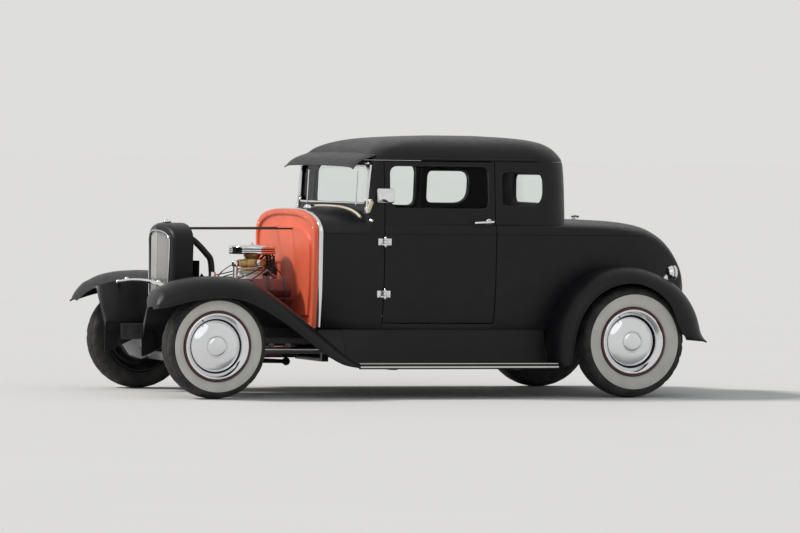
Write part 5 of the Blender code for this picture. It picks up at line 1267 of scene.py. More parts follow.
def closer(outline, longest=0.03):
    """The outline with points added along its long stretches."""
    made = []
    for a, b in zip(outline, outline[1:] + outline[:1]):
        steps = max(1, int((Vector(b) - Vector(a)).length / longest))
        made += [tuple(Vector(a).lerp(Vector(b), k / steps)) for k in range(steps)]
    return made


def front_point(x, z, out=0.0):
    return touch((x, -3, z), ALONG, out)


def make_window_rubbers():
    for name, side in SIDES:
        door = ring_of([side_point(side, y, z, -0.003) for y, z in closer(door_window)], 0.0052)
        finish_piece(door, "door_window_rubber_" + name, "door_" + name, "rubber", SEAL_RUBBER, degrees=60)
        quarter = ring_of([side_point(side, y, z, -0.003) for y, z in closer(quarter_window)], 0.0052)
        finish_piece(quarter, "quarter_window_rubber_" + name, "car", "rubber", SEAL_RUBBER, degrees=60)
    back = ring_of([touch((x, 3, z), AHEAD, -0.003) for x, z in closer(back_window)], 0.0052)
    finish_piece(back, "back_window_rubber", "car", "rubber", SEAL_RUBBER, degrees=60)


def make_windshield_frame():
    run = [front_point(x, z, 0.002) for x, z in closer(windshield_outline)]
    bead = ring_of(run, 0.0075, 3)
    posts = []
    for side in (1, -1):
        x = side * 0.592
        foot, head = front_point(x, windshield_post_low, 0.004), front_point(x, windshield_post_high, 0.004)
        posts.append(rod([foot, head], 0.0085, 3))
        posts.append(block((x - 0.016, foot.y - 0.01, foot.z - 0.03),
            (x + 0.016, foot.y + 0.012, foot.z + 0.006), 0.006))
        hinge = front_point(side * 0.555, cab_z(0.6) + 0.01, 0.006)
        posts.append(rod([hinge - Vector((0.022, 0, 0)), hinge + Vector((0.022, 0, 0))], 0.0065, 3))
    plated([bead] + posts, "windshield_frame", degrees=50)


windshield_post_low, windshield_post_high = cab_z(0.03), cab_z(0.6)


def visor_rows(lift=0.0):
    rows = []
    shares, drops = (-1.0, -0.92, -0.6, 0.0, 0.6, 0.92, 1.0), (1.0, 0.45, 0.12, 0.0, 0.12, 0.45, 1.0)
    low, high = cab_z(0.591), cab_z(0.772)
    for across in arc(-1.0, 1.0, 36):
        sag = between(shares, drops, across) * 0.018
        run = path_through([(across * 0.59, cab_front_y - 0.085, low - sag + lift),
            (across * 0.59, cab_front_y - 0.038, low + (high - low) * 0.55 - sag + lift),
            (across * 0.59, cab_front_y + 0.06, high - sag + lift)], 6)
        rows.append([tuple(p) for p in run])
    return rows


def make_visor():
    rows = visor_rows()
    sheet = thicken(loft(rows, closed_ends=False, closed_rings=False), 0.003)
    lip = rod([row[0] for row in rows], 0.0042, 2)
    visor = cut(join_pieces([sheet, lip]), body_form(-0.0004, False))
    finish_piece(visor, "visor_panel", "car", "body_paint", SATIN, degrees=40)
    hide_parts("visor")


make_glass()
make_window_rubbers()
make_windshield_frame()
make_visor()


# Engine: block with its covers, plugs and wires, carburettor, air cleaner, belt and headers
port_places = [-1.1029, -0.9973, -0.8917, -0.7861]
cover_centre = (0.25, -0.9445, 0.615)
carburettor_y, distributor_y = -0.883, -0.7665


def bolt(place, axis, radius=0.006, height=0.005):
    """A hexagon bolt head on a thin round washer."""
    washer = turned([(0.0, 0.0012), (radius * 1.45, 0.0012), (radius * 1.45, -0.002), (0.0, -0.002)], axis,
        place, 16)
    head = turned([(0.0, height), (radius * 0.8, height), (radius, height * 0.72), (radius, 0.0), (0.0, 0.0)],
        axis, place, 6)
    return join_pieces([washer, head])


def turn_about(piece, angle, axis, centre):
    piece.data.transform(Matrix.Translation(centre) @ Matrix.Rotation(angle, 4, axis))
    return piece


def make_valve_covers():
    for name, side in SIDES:
        centre = (side * cover_centre[0], cover_centre[1], cover_centre[2])
        cover = block((-0.05, -0.2085, -0.03), (0.05, 0.2085, 0.032), 0.012, 4)
        ribs = [block((x - 0.0028, -0.19, 0.028), (x + 0.0028, 0.19, 0.0372), 0.0016, 2)
            for x in arc(-0.033, 0.033, 6)]
        cover = turn_about(join_pieces([cover] + ribs), side * math.pi / 4, "Y", centre)
        finish_piece(cover, "valve_cover_" + name, "car", "cast", ENGINE_PAINT, degrees=36)
        lip = block((-0.0545, -0.2125, -0.0345), (0.0545, 0.2125, -0.0285), 0.0022, 2)
        trims = [lip]
        for y in (-0.12, 0.12):
            trims.append(turned([(0.0, 0.053), (0.005, 0.052), (0.0075, 0.047), (0.006, 0.041),
                (0.013, 0.0385), (0.013, 0.029), (0.0, 0.029)], UP, (0, y, 0), 20))
        trims.append(turned([(0.0, 0.062), (0.019, 0.06), (0.0225, 0.055), (0.0225, 0.04), (0.016, 0.038),
            (0.016, 0.028), (0.0, 0.028)], UP, (0.004, -0.165, 0), 28))
        trim = turn_about(join_pieces(trims), side * math.pi / 4, "Y", centre)
        plated(trim, "valve_cover_trim_" + name)


def make_engine():
    refined("engine_block", 0.0035, 36)
    make_valve_covers()
    bolts = []
    for side in (1, -1):
        for y in arc(engine_front_y + 0.03, engine_back_y - 0.03, 9):
            bolts.append(bolt((side * 0.148, y, 0.358), DOWN, 0.0052, 0.005))
        for y in arc(engine_front_y + 0.05, engine_back_y - 0.05, 4):
            bolts.append(bolt((side * 0.183, y, 0.452), (side * 0.72, 0, -0.69), 0.0085, 0.007))
    for x, z in ((-0.12, 0.3), (0.12, 0.3), (-0.12, 0.5), (0.12, 0.5), (0.0, 0.52), (-0.15, 0.42),
            (0.15, 0.42)):
        bolts.append(bolt((x, engine_front_y, z), AHEAD, 0.0065, 0.006))
    finish_piece(bolts, "engine_bolts", "car", "steel", BARE_STEEL)
    front_cover = turned([(0.0, 0.022), (0.06, 0.022), (0.072, 0.018), (0.08, 0.008), (0.1, 0.004),
        (0.104, -0.002), (0.0, -0.002)], AHEAD, (0, engine_front_y, crank_z), 40)
    pump = turned([(0.0, 0.0005), (0.03, 0.0005), (0.036, -0.004), (0.06, -0.012), (0.062, -0.024),
        (0.0, -0.024)], AHEAD, (0, engine_front_y - 0.024, 0.56), 32)
    finish_piece([front_cover, pump], "timing_cover", "car", "cast", ENGINE_PAINT, degrees=40)


def make_ignition():
    axis = UP
    body = turned([(0.0, 0.7), (0.029, 0.7), (0.029, 0.684), (0.0215, 0.676), (0.0215, 0.612), (0.029, 0.606),
        (0.029, 0.5806), (0.0, 0.5806)], axis, (0, distributor_y, 0), 32)
    vacuum = turned([(0.0, 0.02), (0.018, 0.018), (0.024, 0.01), (0.024, 0.004), (0.018, -0.006),
        (0.0, -0.006)], (1, 0, 0), (0.052, distributor_y, 0.662), 24)
    stem = rod([(0.02, distributor_y, 0.662), (0.05, distributor_y, 0.662)], 0.005, 2)
    finish_piece([body, vacuum, stem], "distributor_body", "car", "steel", ALLOY, degrees=40)
    cap = [turned([(0.0, 0.772), (0.02, 0.772), (0.03, 0.766), (0.0365, 0.752), (0.038, 0.73), (0.038, 0.701),
        (0.0, 0.701)], axis, (0, distributor_y, 0), 40)]
    towers = [(0.0, distributor_y)]
    for k in range(8):
        angle = math.tau * (k + 0.5) / 8
        towers.append((0.0245 * math.cos(angle), distributor_y + 0.0245 * math.sin(angle)))
    for x, y in towers:
        cap.append(turned([(0.0, 0.798), (0.0058, 0.797), (0.0068, 0.788), (0.0068, 0.76), (0.0, 0.76)], axis,
            (x, y, 0), 14))
    cap = finish_piece(cap, "distributor_cap", "car", "rubber", BLACK_CAST, degrees=40)
    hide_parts("distributor")
    wires, boots = [], []
    for k, (x, y) in enumerate(towers[1:]):
        side = 1 if x > 0 else -1
        row = sorted(towers[1:], key=lambda t: (t[0] * side < 0, t[1])).index((x, y))
        target = port_places[row % 4]
        spread = 0.0075 * (row % 4)
        route = [(x, y, 0.79), (x, y, 0.812), (x + side * 0.02, y - 0.006, 0.828 - spread * 0.5),
            (side * 0.105, y - 0.02 - spread, 0.79 - spread), (side * 0.18, (y + target) / 2, 0.722),
            (side * 0.288, target + 0.006, 0.676), (side * 0.334, target + 0.004, 0.622),
            (side * 0.318, target, 0.572), (side * 0.296, target, 0.556)]
        wires.append(rod(route, 0.0036, 2, 5))
        boots.append(rod([(side * 0.322, target, 0.578), (side * 0.29, target, 0.552)], 0.0078, 3))
        boots.append(rod([(side * 0.292, target, 0.554), (side * 0.262, target, 0.53)], 0.0055, 2))
    lead = rod([(0, distributor_y, 0.795), (0.0, distributor_y, 0.83), (-0.06, -0.735, 0.835),
        (-0.13, -0.7, 0.8), (-0.16, -0.686, 0.78)], 0.0036, 2, 6)
    coil = turned([(0.0, 0.066), (0.012, 0.066), (0.016, 0.06), (0.027, 0.056), (0.029, 0.05), (0.029, -0.06),
        (0.026, -0.064), (0.0, -0.064)], UP, (-0.165, -0.712, 0.735), 28)
    finish_piece(wires + boots + [lead], "plug_wires", "car", "rubber", HOSE_RUBBER, degrees=50)
    strap = block((-0.2, -0.706, 0.722), (-0.13, -0.66, 0.746), 0.003)
    finish_piece([coil, strap], "ignition_coil", "car", "steel", BLACK_CAST, degrees=40)


def make_carburettor():
    y = carburettor_y
    plate_part = block((-0.092, -1.096, 0.5806), (0.092, -0.793, 0.612), 0.007, 3)
    runners = []
    for side in (1, -1):
        for port in port_places:
            runners.append(rod([(side * 0.05, y + (port - y) * 0.6, 0.625), (side * 0.1, port, 0.622),
                (side * 0.168, port, 0.6)], 0.0185, 4, 6))
    plenum = block((-0.058, y - 0.128, 0.6), (0.058, y + 0.112, 0.668), 0.018, 4)
    riser = loft([[(x, b, z) for x, b in rounded(rectangle(-w, w, y - d, y + d), (0.3,) * 4, 5)] for z, w,
        d in ((0.66, 0.052, 0.082), (0.69, 0.042, 0.072), (0.716, 0.04, 0.07), (0.718, 0.052, 0.084),
        (0.73, 0.052, 0.084))])
    bolts = [bolt((sx * 0.043, y + sy * 0.074, 0.73), UP, 0.0058, 0.006) for sx in (1, -1) for sy in (1, -1)]
    manifold = finish_piece([plate_part, plenum, riser] + runners + bolts, "intake_manifold", "car", "cast",
        ALLOY, degrees=40)
    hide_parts("intake_carburettor")
    base = block((-0.04, y - 0.064, 0.7305), (0.04, y + 0.064, 0.752), 0.005, 2)
    bowls = [block((-0.034, y - 0.079, 0.754), (0.034, y - 0.034, 0.798), 0.007, 3),
        block((-0.034, y + 0.034, 0.754), (0.034, y + 0.079, 0.798), 0.007, 3)]
    body = block((-0.036, y - 0.044, 0.75), (0.036, y + 0.044, 0.806), 0.008, 3)
    horn = turned([(0.0, 0.8335), (0.052, 0.8335), (0.052, 0.822), (0.045, 0.812), (0.036, 0.8), (0.0, 0.8)],
        UP, (0, y, 0), 40)
    screws = [bolt((sx * 0.024, y + sy * 0.079, z), (0, sy, 0), 0.0036, 0.003) for sx in (1, -1)
        for sy in (1, -1) for z in (0.762, 0.79)]
    finish_piece([base, body, horn] + bowls + screws, "carburettor_body", "car", "cast", BRASS, degrees=38)
    links = [rod([(0.048, y - 0.05, 0.742), (0.05, y + 0.052, 0.76)], 0.0026, 2),
        rod([(0.04, y, 0.744), (0.056, y, 0.744)], 0.004, 2),
        rod([(0.05, y + 0.052, 0.76), (0.062, y + 0.13, 0.7), (0.07, y + 0.226, 0.69)], 0.0028, 2, 5),
        rod([(-0.034, y - 0.06, 0.776), (-0.07, y - 0.08, 0.776), (-0.11, y - 0.17, 0.7),
        (-0.105, -1.13, 0.52)], 0.004, 2, 8), turned([(0.0, 0.008), (0.017, 0.006), (0.02, 0.0),
        (0.017, -0.006), (0.0, -0.008)], (1, 0, 0), (0.046, y + 0.03, 0.782), 24)]
    filler = turned([(0.0, 0.794), (0.017, 0.792), (0.0235, 0.785), (0.0245, 0.772), (0.0225, 0.76),
        (0.015, 0.756), (0.015, 0.64), (0.0185, 0.612), (0.0, 0.612)], UP, (0.046, -1.004, 0), 32)
    neck = turned([(0.0225, 0.722), (0.0235, 0.718), (0.0235, 0.664), (0.03, 0.65), (0.033, 0.612),
        (0.033, 0.5815), (0.0195, 0.5815), (0.0195, 0.722)], UP, (0, front_axle_y + 0.2304, 0), 36,
        closed=True)
    plated(links + [filler, neck], "carburettor_links")


def make_air_cleaner():
    place = (0, carburettor_y, 0)
    lid = turned([(0.0, 0.8846), (0.02, 0.8844), (0.026, 0.8818), (0.05, 0.8816), (0.058, 0.8846),
        (0.118, 0.8842), (0.134, 0.8826), (0.142, 0.8785), (0.145, 0.872), (0.144, 0.8665), (0.1405, 0.865),
        (0.1405, 0.87), (0.136, 0.877), (0.118, 0.88), (0.0, 0.88)], UP, place, 72)
    base = turned([(0.0, 0.8345), (0.129, 0.8345), (0.1385, 0.837), (0.1415, 0.843), (0.145, 0.844),
        (0.1455, 0.84), (0.14, 0.8315), (0.128, 0.8302), (0.0, 0.8302)], UP, place, 72)
    nut = turned([(0.0, 0.9), (0.005, 0.899), (0.0065, 0.894), (0.0055, 0.89), (0.012, 0.887),
        (0.012, 0.8815), (0.0, 0.8815)], UP, place, 20)
    ears = block((-0.014, place[1] - 0.0022, 0.8905), (0.014, place[1] + 0.0022, 0.8995), 0.0018, 2)
    dish = plated([lid, base, nut, ears], "air_cleaner_lid")
    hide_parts("air_cleaner")
    pleats = []
    for k in range(180):
        angle = math.tau * k / 180
        r = 0.137 if k % 2 else 0.13
        pleats.append((r * math.cos(angle), place[1] + r * math.sin(angle)))
    element = plate(pleats, 0.835, 0.878, "XY")
    bands = [turned([(0.137, z - 0.003), (0.1392, z - 0.003), (0.1392, z + 0.003), (0.137, z + 0.003)], UP,
        place, 72, closed=True) for z in (0.844, 0.855, 0.866)]
    finish_piece(element, "air_filter", "car", "rubber", CARPET, degrees=20)
    finish_piece(bands, "air_filter_bands", "car", "chrome", CHROME)


def make_belt_drive():
    refined("fan_pulleys", 0.001, 36, FRAME_PAINT)
    y = engine_front_y - 0.052
    loops = []
    for (x1, z1, r1), (x2, z2, r2) in (((0.0, 0.6, 0.0765), (0.0, crank_z, 0.078)),
            ((0.0, 0.6, 0.0765), (0.148, 0.452, 0.036))):
        gap = math.hypot(x2 - x1, z2 - z1)
        heading = math.atan2(z2 - z1, x2 - x1)
        lean = math.acos((r1 - r2) / gap)
        run = [(x1 + r1 * math.cos(heading + a), y, z1 + r1 * math.sin(heading + a))
            for a in arc(lean, math.tau - lean, 26)]
        run += [(x2 + r2 * math.cos(heading + a), y, z2 + r2 * math.sin(heading + a))
            for a in arc(-lean, lean, 26)]
        loops.append(ring_of(run, 0.0048, 1))
        y -= 0.014
    finish_piece(loops, "drive_belts", "car", "rubber", HOSE_RUBBER, degrees=50)
    crank = turned([(0.0, 0.04), (0.03, 0.04), (0.034, 0.034), (0.062, 0.03), (0.078, 0.034), (0.078, 0.029),
        (0.07, 0.024), (0.078, 0.019), (0.078, 0.01), (0.03, 0.006), (0.028, -0.005), (0.0, -0.005)], AHEAD,
        (0, engine_front_y - 0.024, crank_z), 44)
    unit = turned([(0.0, 0.066), (0.012, 0.066), (0.014, 0.058), (0.034, 0.056), (0.036, 0.05), (0.03, 0.045),
        (0.036, 0.04), (0.034, 0.034), (0.014, 0.032), (0.014, 0.016), (0.04, 0.014), (0.046, 0.006),
        (0.048, -0.08), (0.042, -0.092), (0.016, -0.096), (0.0, -0.096)], AHEAD,
        (0.148, engine_front_y - 0.016, 0.452), 40)
    arm = block((0.1, engine_front_y - 0.012, 0.476), (0.16, engine_front_y - 0.002, 0.52), 0.003)
    cooling = [block((0.146, engine_front_y + 0.01, 0.499), (0.15, engine_front_y + 0.06, 0.503), 0.001)]
    finish_piece([crank, unit, arm] + cooling, "belt_pulleys", "car", "steel", BLACK_CAST, degrees=38)


def make_headers():
    for name, side in SIDES:
        parts = []
        for port in port_places:
            route = [(side * 0.2517, port, 0.525), (side * 0.2917, port, 0.515),
                (side * 0.29, port + 0.008, 0.461), (side * 0.262, port + 0.034, 0.345),
                (side * 0.236, port + 0.06, 0.276)]
            parts.append(rod(route, 0.0192, 5, 8))
            flange = plate(rounded(rectangle(port - 0.036, port + 0.036, 0.496, 0.553), (0.4,) * 4, 6), 0.0,
                0.009, "YZ", 0.0015)
            flange.data.transform(Matrix.Translation((side * 0.2535 - 0.0045, 0, 0)))
            parts.append(flange)
            for b in (-0.026, 0.026):
                parts.append(bolt((side * 0.258, port + b, 0.5245), (side, 0, 0), 0.0052, 0.006))
        run = [(0.235, -1.1215, 0.272), (0.235, -0.3, 0.272), (0.235, 0.2, 0.272), (0.235, 0.744, 0.272)]
        parts.append(rod([(side * x, y, z) for x, y, z in run], 0.0272, 6))
        muffler = turned([(0.0272, 0.0), (0.04, 0.012), (0.044, 0.03), (0.044, 0.43), (0.04, 0.448),
            (0.0272, 0.46), (0.0, 0.46), (0.0, 0.0)], ALONG, (side * 0.235, 0.06, 0.272), 40)
        parts.append(muffler)
        tip = turned([(0.03, 0.0), (0.032, 0.002), (0.032, 0.06), (0.03, 0.0625), (0.027, 0.0615),
            (0.027, 0.0)], ALONG, (side * 0.235, 0.69, 0.272), 40, closed=True)
        parts.append(tip)
        for y in (-0.5, -0.05, 0.6):
            parts.append(clamp((side * 0.235, y, 0.272), ALONG, 0.0272))
        piece = finish_piece(parts, "header_tubes_" + name, "car", "chrome", STAINLESS, degrees=42)
        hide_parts("header_pipe_" + name)


make_engine()
make_ignition()
make_carburettor()
make_air_cleaner()
make_belt_drive()
make_headers()


# Running gear: frame, axles, springs, steering and brakes


def make_running_gear():
    for name, ease, look in (("chassis_frame", 0.002, FRAME_PAINT), ("gearbox", 0.003, BLACK_CAST),
            ("front_axle", 0.004, BARE_STEEL), ("front_spring", 0.001, FRAME_PAINT),
            ("wishbone", 0.001, FRAME_PAINT), ("rear_axle", 0.002, FRAME_PAINT),
            ("rear_spring", 0.001, FRAME_PAINT), ("knuckle_left", 0.0015, BARE_STEEL),
            ("knuckle_right", 0.0015, BARE_STEEL), ("tie_rod", 0.001, BARE_STEEL), ("floor", 0.002, CARPET)):
        refined(name, ease, 36, look)
    low = front_tyre_radius - 0.095
    parts = []
    for side in (1, -1):
        for y, z in ((front_axle_y, 0.29), (rear_axle_y, 0.392)):
            x = side * 0.3775
            for dy in (-0.026, 0.026):
                parts.append(rod([(x, y + dy, z - 0.045), (x, y + dy, z + 0.026)], 0.0052, 2))
            parts.append(rod([(x, y - 0.026, z + 0.026), (x, y + 0.026, z + 0.026)], 0.0052, 2))
            parts.append(block((x - 0.02, y - 0.034, z - 0.01), (x + 0.02, y + 0.034, z - 0.004), 0.0015))
        for y in (front_axle_y - 0.006, front_axle_y + 0.006):
            parts.append(rod([(side * 0.42, y, low + 0.02), (side * 0.42, y, low + 0.032)], 0.006, 2))
        parts.append(bolt((side * 0.42, front_axle_y - 0.018, low), AHEAD, 0.01, 0.008))
        body = [(side * 0.3, front_axle_y + 0.06, rail_top - 0.012),
            (side * 0.47, front_axle_y + 0.04, 0.262)]
        start, end = Vector(body[0]), Vector(body[1])
        parts.append(rod([start, start.lerp(end, 0.52)], 0.019, 4))
        parts.append(rod([start.lerp(end, 0.4), start.lerp(end, 0.94)], 0.015, 4))
        parts.append(rod([end - Vector((0, 0.012, 0)), end + Vector((0, 0.012, 0))], 0.017, 3))
        start, end = Vector((side * 0.29, rear_axle_y - 0.1, rail_top + 0.01)), Vector((side * 0.52,
            rear_axle_y - 0.062, 0.3))
        parts.append(rod([start, start.lerp(end, 0.55)], 0.021, 4))
        parts.append(rod([start.lerp(end, 0.42), end], 0.0165, 4))
    for y in (front_axle_y, rear_axle_y):
        z = 0.262 if y < 0 else 0.372
        parts.append(block((-0.036, y - 0.03, z - 0.006), (0.036, y + 0.03, z), 0.0015))
        for x in (-0.024, 0.024):
            parts.append(bolt((x, y, z - 0.006), DOWN, 0.0075, 0.007))
    finish_piece(parts, "spring_clamps", "car", "steel", BARE_STEEL, degrees=40)
    cover = turned([(0.0, 0.03), (0.05, 0.028), (0.082, 0.018), (0.1, 0.003), (0.118, 0.003), (0.12, -0.004),
        (0.0, -0.004)], ALONG, (0, 1.3581, rear_tyre_radius), 48)
    heads = [bolt((0.11 * math.cos(a), 1.3611, rear_tyre_radius + 0.11 * math.sin(a)), ALONG, 0.006, 0.005)
        for a in arc(0.0, math.tau, 12)[:-1]]
    finish_piece([cover] + heads, "axle_cover", "car", "steel", BLACK_CAST, degrees=38)
    for name, side in SIDES:
        centre = (side * 0.6445, front_axle_y, front_tyre_radius)
        drum = turned([(0.04, 0.003), (0.108, 0.003), (0.128, -0.002), (0.1335, -0.004), (0.1345, -0.008),
            (0.13, -0.01), (0.1, -0.006), (0.04, -0.006)], (-side, 0, 0), centre, 60, closed=True)
        heads = [bolt((centre[0] - side * 0.003, front_axle_y + 0.08 * math.cos(a),
            front_tyre_radius + 0.08 * math.sin(a)), (-side, 0, 0), 0.0055, 0.005)
            for a in arc(0.4, math.tau + 0.4, 6)[:-1]]
        finish_piece([drum] + heads, "brake_plate_" + name, "steer_" + name, "steel", BLACK_CAST, degrees=38)


def make_apron_ends():
    """The front aprons reach down past the rails, with a rolled edge."""
    line = ((-1.688, 0.236), (-1.64, 0.252), (-1.56, 0.29), (-1.49, 0.322), (-1.43, 0.346))
    rows = []
    for _, y, z in path_through([(0.0, y, z) for y, z in line], 6):
        x = rail_half_width(y) + fit + skin + 0.003
        rows.append([(x + 0.012 * (1 - t) * (1 if y < frame_front_y else 0.3), y,
            z + (rail_top + 0.01 - z) * t) for t in arc(0.0, 1.0, 5)])
    left = thicken(loft(rows, closed_ends=False, closed_rings=False), 0.004)
    lip = rod([row[0] for row in rows], 0.0048, 2)
    left = join_pieces([left, lip])
    right = mirror_copy(left, "right_side")
    for piece, side in ((left, "left"), (right, "right")):
        finish_piece(piece, "front_apron_" + side, "car", "body_paint", SATIN, degrees=40)


make_running_gear()
make_apron_ends()


# Outside fittings: mouldings, handles, hinges, lamps, bar and mirror


def side_run(side, places, out, lift=0.0):
    return [side_point(side, y, z, out) + Vector((0, 0, lift)) for y, z in places]


def moulding(run, body, name, look=None, radius=0.0055):
    piece = rod(run, radius, 2)
    return finish_piece(piece, name, body, "body_paint", look or SATIN, degrees=60)


def make_mouldings():
    belt = body_top * 0.88
    for name, side in SIDES:
        spans = (("cowl", "car", firewall_y + 0.03, door_front_y - 0.008),
            ("door", "door_" + name, door_front_y + 0.003, door_rear_y - 0.003),
            ("rear", "car", door_rear_y + 0.008, 1.44))
        for part, body, start, end in spans:
            run = side_run(side, [(y, belt) for y in arc(start, end, 24)], -0.0015)
            moulding(run, body, f"belt_moulding_{part}_{name}")
        rail = [(y, drip_height + 0.006) for y in arc(cab_front_y + 0.04, cab_back_y - 0.23, 36)]
        run = side_run(side, rail, 0.0035)
        moulding(run, "car", "drip_rail_" + name, radius=0.006)


hinge_x, hinge_y, hinge_pin = 0.65722, -0.2795, 0.0102
tail_lamp_x, tail_lamp_z = 0.684, 0.7474


def make_handles():
    for name, side in SIDES:
        root = side_point(side, 0.384, 1.043)
        parts = [turned([(0.0, 0.012), (0.0085, 0.012), (0.0105, 0.008), (0.015, 0.0055), (0.0185, 0.003),
            (0.0185, -0.004), (0.0, -0.004)], (side, 0, 0), root, 28),
            rod([root, root + Vector((side * 0.036, 0, 0))], 0.0085, 3),
            rod([root + Vector(p) for p in ((side * 0.034, 0.016, 0.001), (side * 0.04, 0, 0),
            (side * 0.042, -0.04, -0.002), (side * 0.04, -0.085, -0.004), (side * 0.036, -0.103, -0.006))],
            0.0092, 4, 6, (1.0, 0.72))]
        plated(parts, "door_handle_" + name, "door_" + name)
        fixed, moving = [], []
        for z in (body_top * 0.555, body_top * 0.835):
            axis = (side * hinge_x, hinge_y)
            for low, high, group in ((-0.026, -0.0092, fixed), (-0.0085, 0.0085, moving),
                    (0.0092, 0.026, fixed)):
                group.append(turned([(0.0, high), (0.0085, high), (hinge_pin, high - 0.0012),
                    (hinge_pin, low + 0.0012), (0.0085, low), (0.0, low)], UP, (axis[0], axis[1], z), 24))
            for end in (0.0305, -0.0305):
                fixed.append(turned([(0.0, 0.004), (0.004, 0.0032), (0.0056, 0.0), (0.004, -0.003),
                    (0.0, -0.0035)], UP, (axis[0], axis[1], z + end * 0.93), 16))
            for shift, group in ((-1, fixed), (1, moving)):
                y = axis[1] + shift * 0.024
                skin_point = side_point(side, y, z)
                x = abs(skin_point.x)
                leaf = block((min(side * (x - 0.001), side * (x + 0.0042)), y - 0.017, z - 0.02),
                    (max(side * (x - 0.001), side * (x + 0.0042)), y + 0.017, z + 0.02), 0.0018, 2)
                group.append(leaf)
                reach = block((min(side * (x - 0.001), side * 0.6592), min(y, axis[1] + shift * 0.007),
                    z - (0.0075 if shift > 0 else 0.02)), (max(side * (x + 0.001), side * 0.6592),
                    max(y, axis[1] + shift * 0.007), z + (0.0075 if shift > 0 else -0.0105)), 0.0012, 1)
                group.append(reach)
                for rise in (-0.012, 0.012):
                    group.append(turned([(0.0, 0.0024), (0.0026, 0.0018), (0.0036, 0.0), (0.0, 0.0)],
                        (side, 0, 0), (side * (x + 0.0042), y + shift * 0.004, z + rise), 12))
        plated(fixed, "hinge_leaves_" + name)
        plated(moving, "door_hinges_" + name, "door_" + name)
    spot = touch((0, 1.205, 2), DOWN)
    grip = [turned([(0.0, 0.01), (0.01, 0.01), (0.014, 0.006), (0.02, 0.0035), (0.022, -0.004),
        (0.0, -0.004)], UP, spot, 28), rod([spot, spot + Vector((0, 0, 0.022))], 0.0075, 3),
        rod([spot + Vector(p) for p in ((-0.046, 0.004, 0.017), (-0.02, 0, 0.022), (0.02, 0, 0.022),
        (0.046, 0.004, 0.017))], 0.0078, 4, 6)]
    plated(grip, "deck_handle", "deck_lid")


def make_lamps():
    for name, side in SIDES:
        refined("tail_lamp_" + name, 0.0015, 34, CHROME)
        centre = Vector((side * tail_lamp_x, 1.5729, tail_lamp_z))
        lens = turned([(0.0, 0.0165), (0.012, 0.0158), (0.024, 0.013), (0.0335, 0.008), (0.0372, 0.003),
            (0.0372, -0.004), (0.0, -0.004)], ALONG, centre, 48)
        rings = [turned([(r - 0.0014, h - 0.001), (r, h + 0.0012), (r + 0.0014, h - 0.001)], ALONG, centre,
            48, closed=True) for r, h in ((0.012, 0.0158), (0.024, 0.013))]
        finish_piece([lens] + rings, "tail_lens_" + name, "car", "lamp", LAMP_RED, degrees=30)
        bezel = turned([(0.0368, 0.0055), (0.04, 0.0065), (0.0432, 0.0035), (0.0438, -0.003), (0.0425, -0.01),
            (0.0368, -0.004)], ALONG, centre, 56, closed=True)
        plated(bezel, "tail_bezel_" + name)


def make_bar_and_mirror():
    refined("headlight_bar", 0.0, 45, CHROME)
    balls = []
    for side in (1, -1):
        for x, z, r in ((0.3, 0.6665, 0.0165), (0.462, 0.6475, 0.015)):
            balls.append(turned([(0.0, r), (r * 0.5, r * 0.866), (r * 0.866, r * 0.5), (r, 0.0),
                (r * 0.866, -r * 0.5), (r * 0.5, -r * 0.866), (0.0, -r)], AHEAD, (side * x, -1.5695, z), 28))
    plated(balls, "bar_nuts", degrees=50)
    refined("side_mirror", 0.003, 40, CHROME)


def make_windshield_fittings():
    """Folding posts, their feet and the round vent beside the cowl; the cream on the feet and on a rod along
    the windshield base is a painted highlight.
    """
    parts = []
    for side in (1, -1):
        foot, head = front_point(side * 0.42, cab_z(0.07), 0.01), front_point(side * 0.42, cab_z(0.52), 0.01)
        parts.append(rod([foot, head], 0.0042, 2))
        spot = side_point(side, -0.36, 1.046, 0.002)
        parts.append(turned([(0.0, 0.01), (0.007, 0.009), (0.01, 0.004), (0.012, 0.0), (0.0, 0.0)],
            (side, 0, 0), spot, 20))
    plated(parts, "windshield_stays", degrees=50)
    # The cream on these feet and on the rod along the windshield base is a painted highlight, standing in for
    # the bright glint there
    feet = []
    for side in (1, -1):
        low, high = side_point(side, -0.372, 1.095, 0.004), side_point(side, -0.356, cab_z(0.1) + 0.012,
            0.004)
        feet.append(rod([low, high], 0.0135, 4))
        feet.append(rod([high, front_point(side * 0.56, cab_z(0.14), 0.006)], 0.011, 4))
    base = [touch((x, cab_front_y - 0.016, 2), DOWN, 0.002) for x in arc(-0.545, 0.545, 30)]
    feet.append(rod(base, 0.0085, 3))
    finish_piece(feet, "painted_highlight_stanchion_feet", "car", "cast", CREAM_DIAL_PRINT_AND_PAINTED_HIGHLIGHT, degrees=50)


make_mouldings()
make_handles()
make_lamps()
make_bar_and_mirror()
make_windshield_fittings()


# Inside: padded bench with sewn channels, dashboard, steering wheel, trim and controls

pad_grain, pad_swell_limit, pad_kept_faces = 0.006, 0.024, 0.42


def padded_form(low, high, swell=4.0, cap=pad_swell_limit):
    """A soft closed pad, blown up as cloth and held along its underside."""
    pad = modify(block(low, high, 0.028, 4), "REMESH", mode="VOXEL", voxel_size=pad_grain)
    start = [point.co.copy() for point in pad.data.vertices]
    held = pad.vertex_groups.new(name="underside")
    held.add([i for i, p in enumerate(start) if p.z < low[2] + 0.012], 1.0, "REPLACE")
    bpy.ops.object.modifier_add(type="CLOTH")
    cloth = pad.modifiers[-1]
    cloth.settings.use_pressure = True
    cloth.settings.uniform_pressure_force = swell
    cloth.settings.effector_weights.gravity = 0.0
    cloth.settings.vertex_group_mass = "underside"
    cloth.point_cache.frame_start = 1
    cloth.point_cache.frame_end = 20
    for number in range(1, 21):
        bpy.context.scene.frame_set(number)
    bpy.ops.object.modifier_apply(modifier=cloth.name)
    bpy.context.scene.frame_set(1)
    for point, before in zip(pad.data.vertices, start):
        shift = point.co - before
        if shift.length > cap:
            point.co = before + shift.normalized() * cap
    return subdivide_surface(pad, 1)


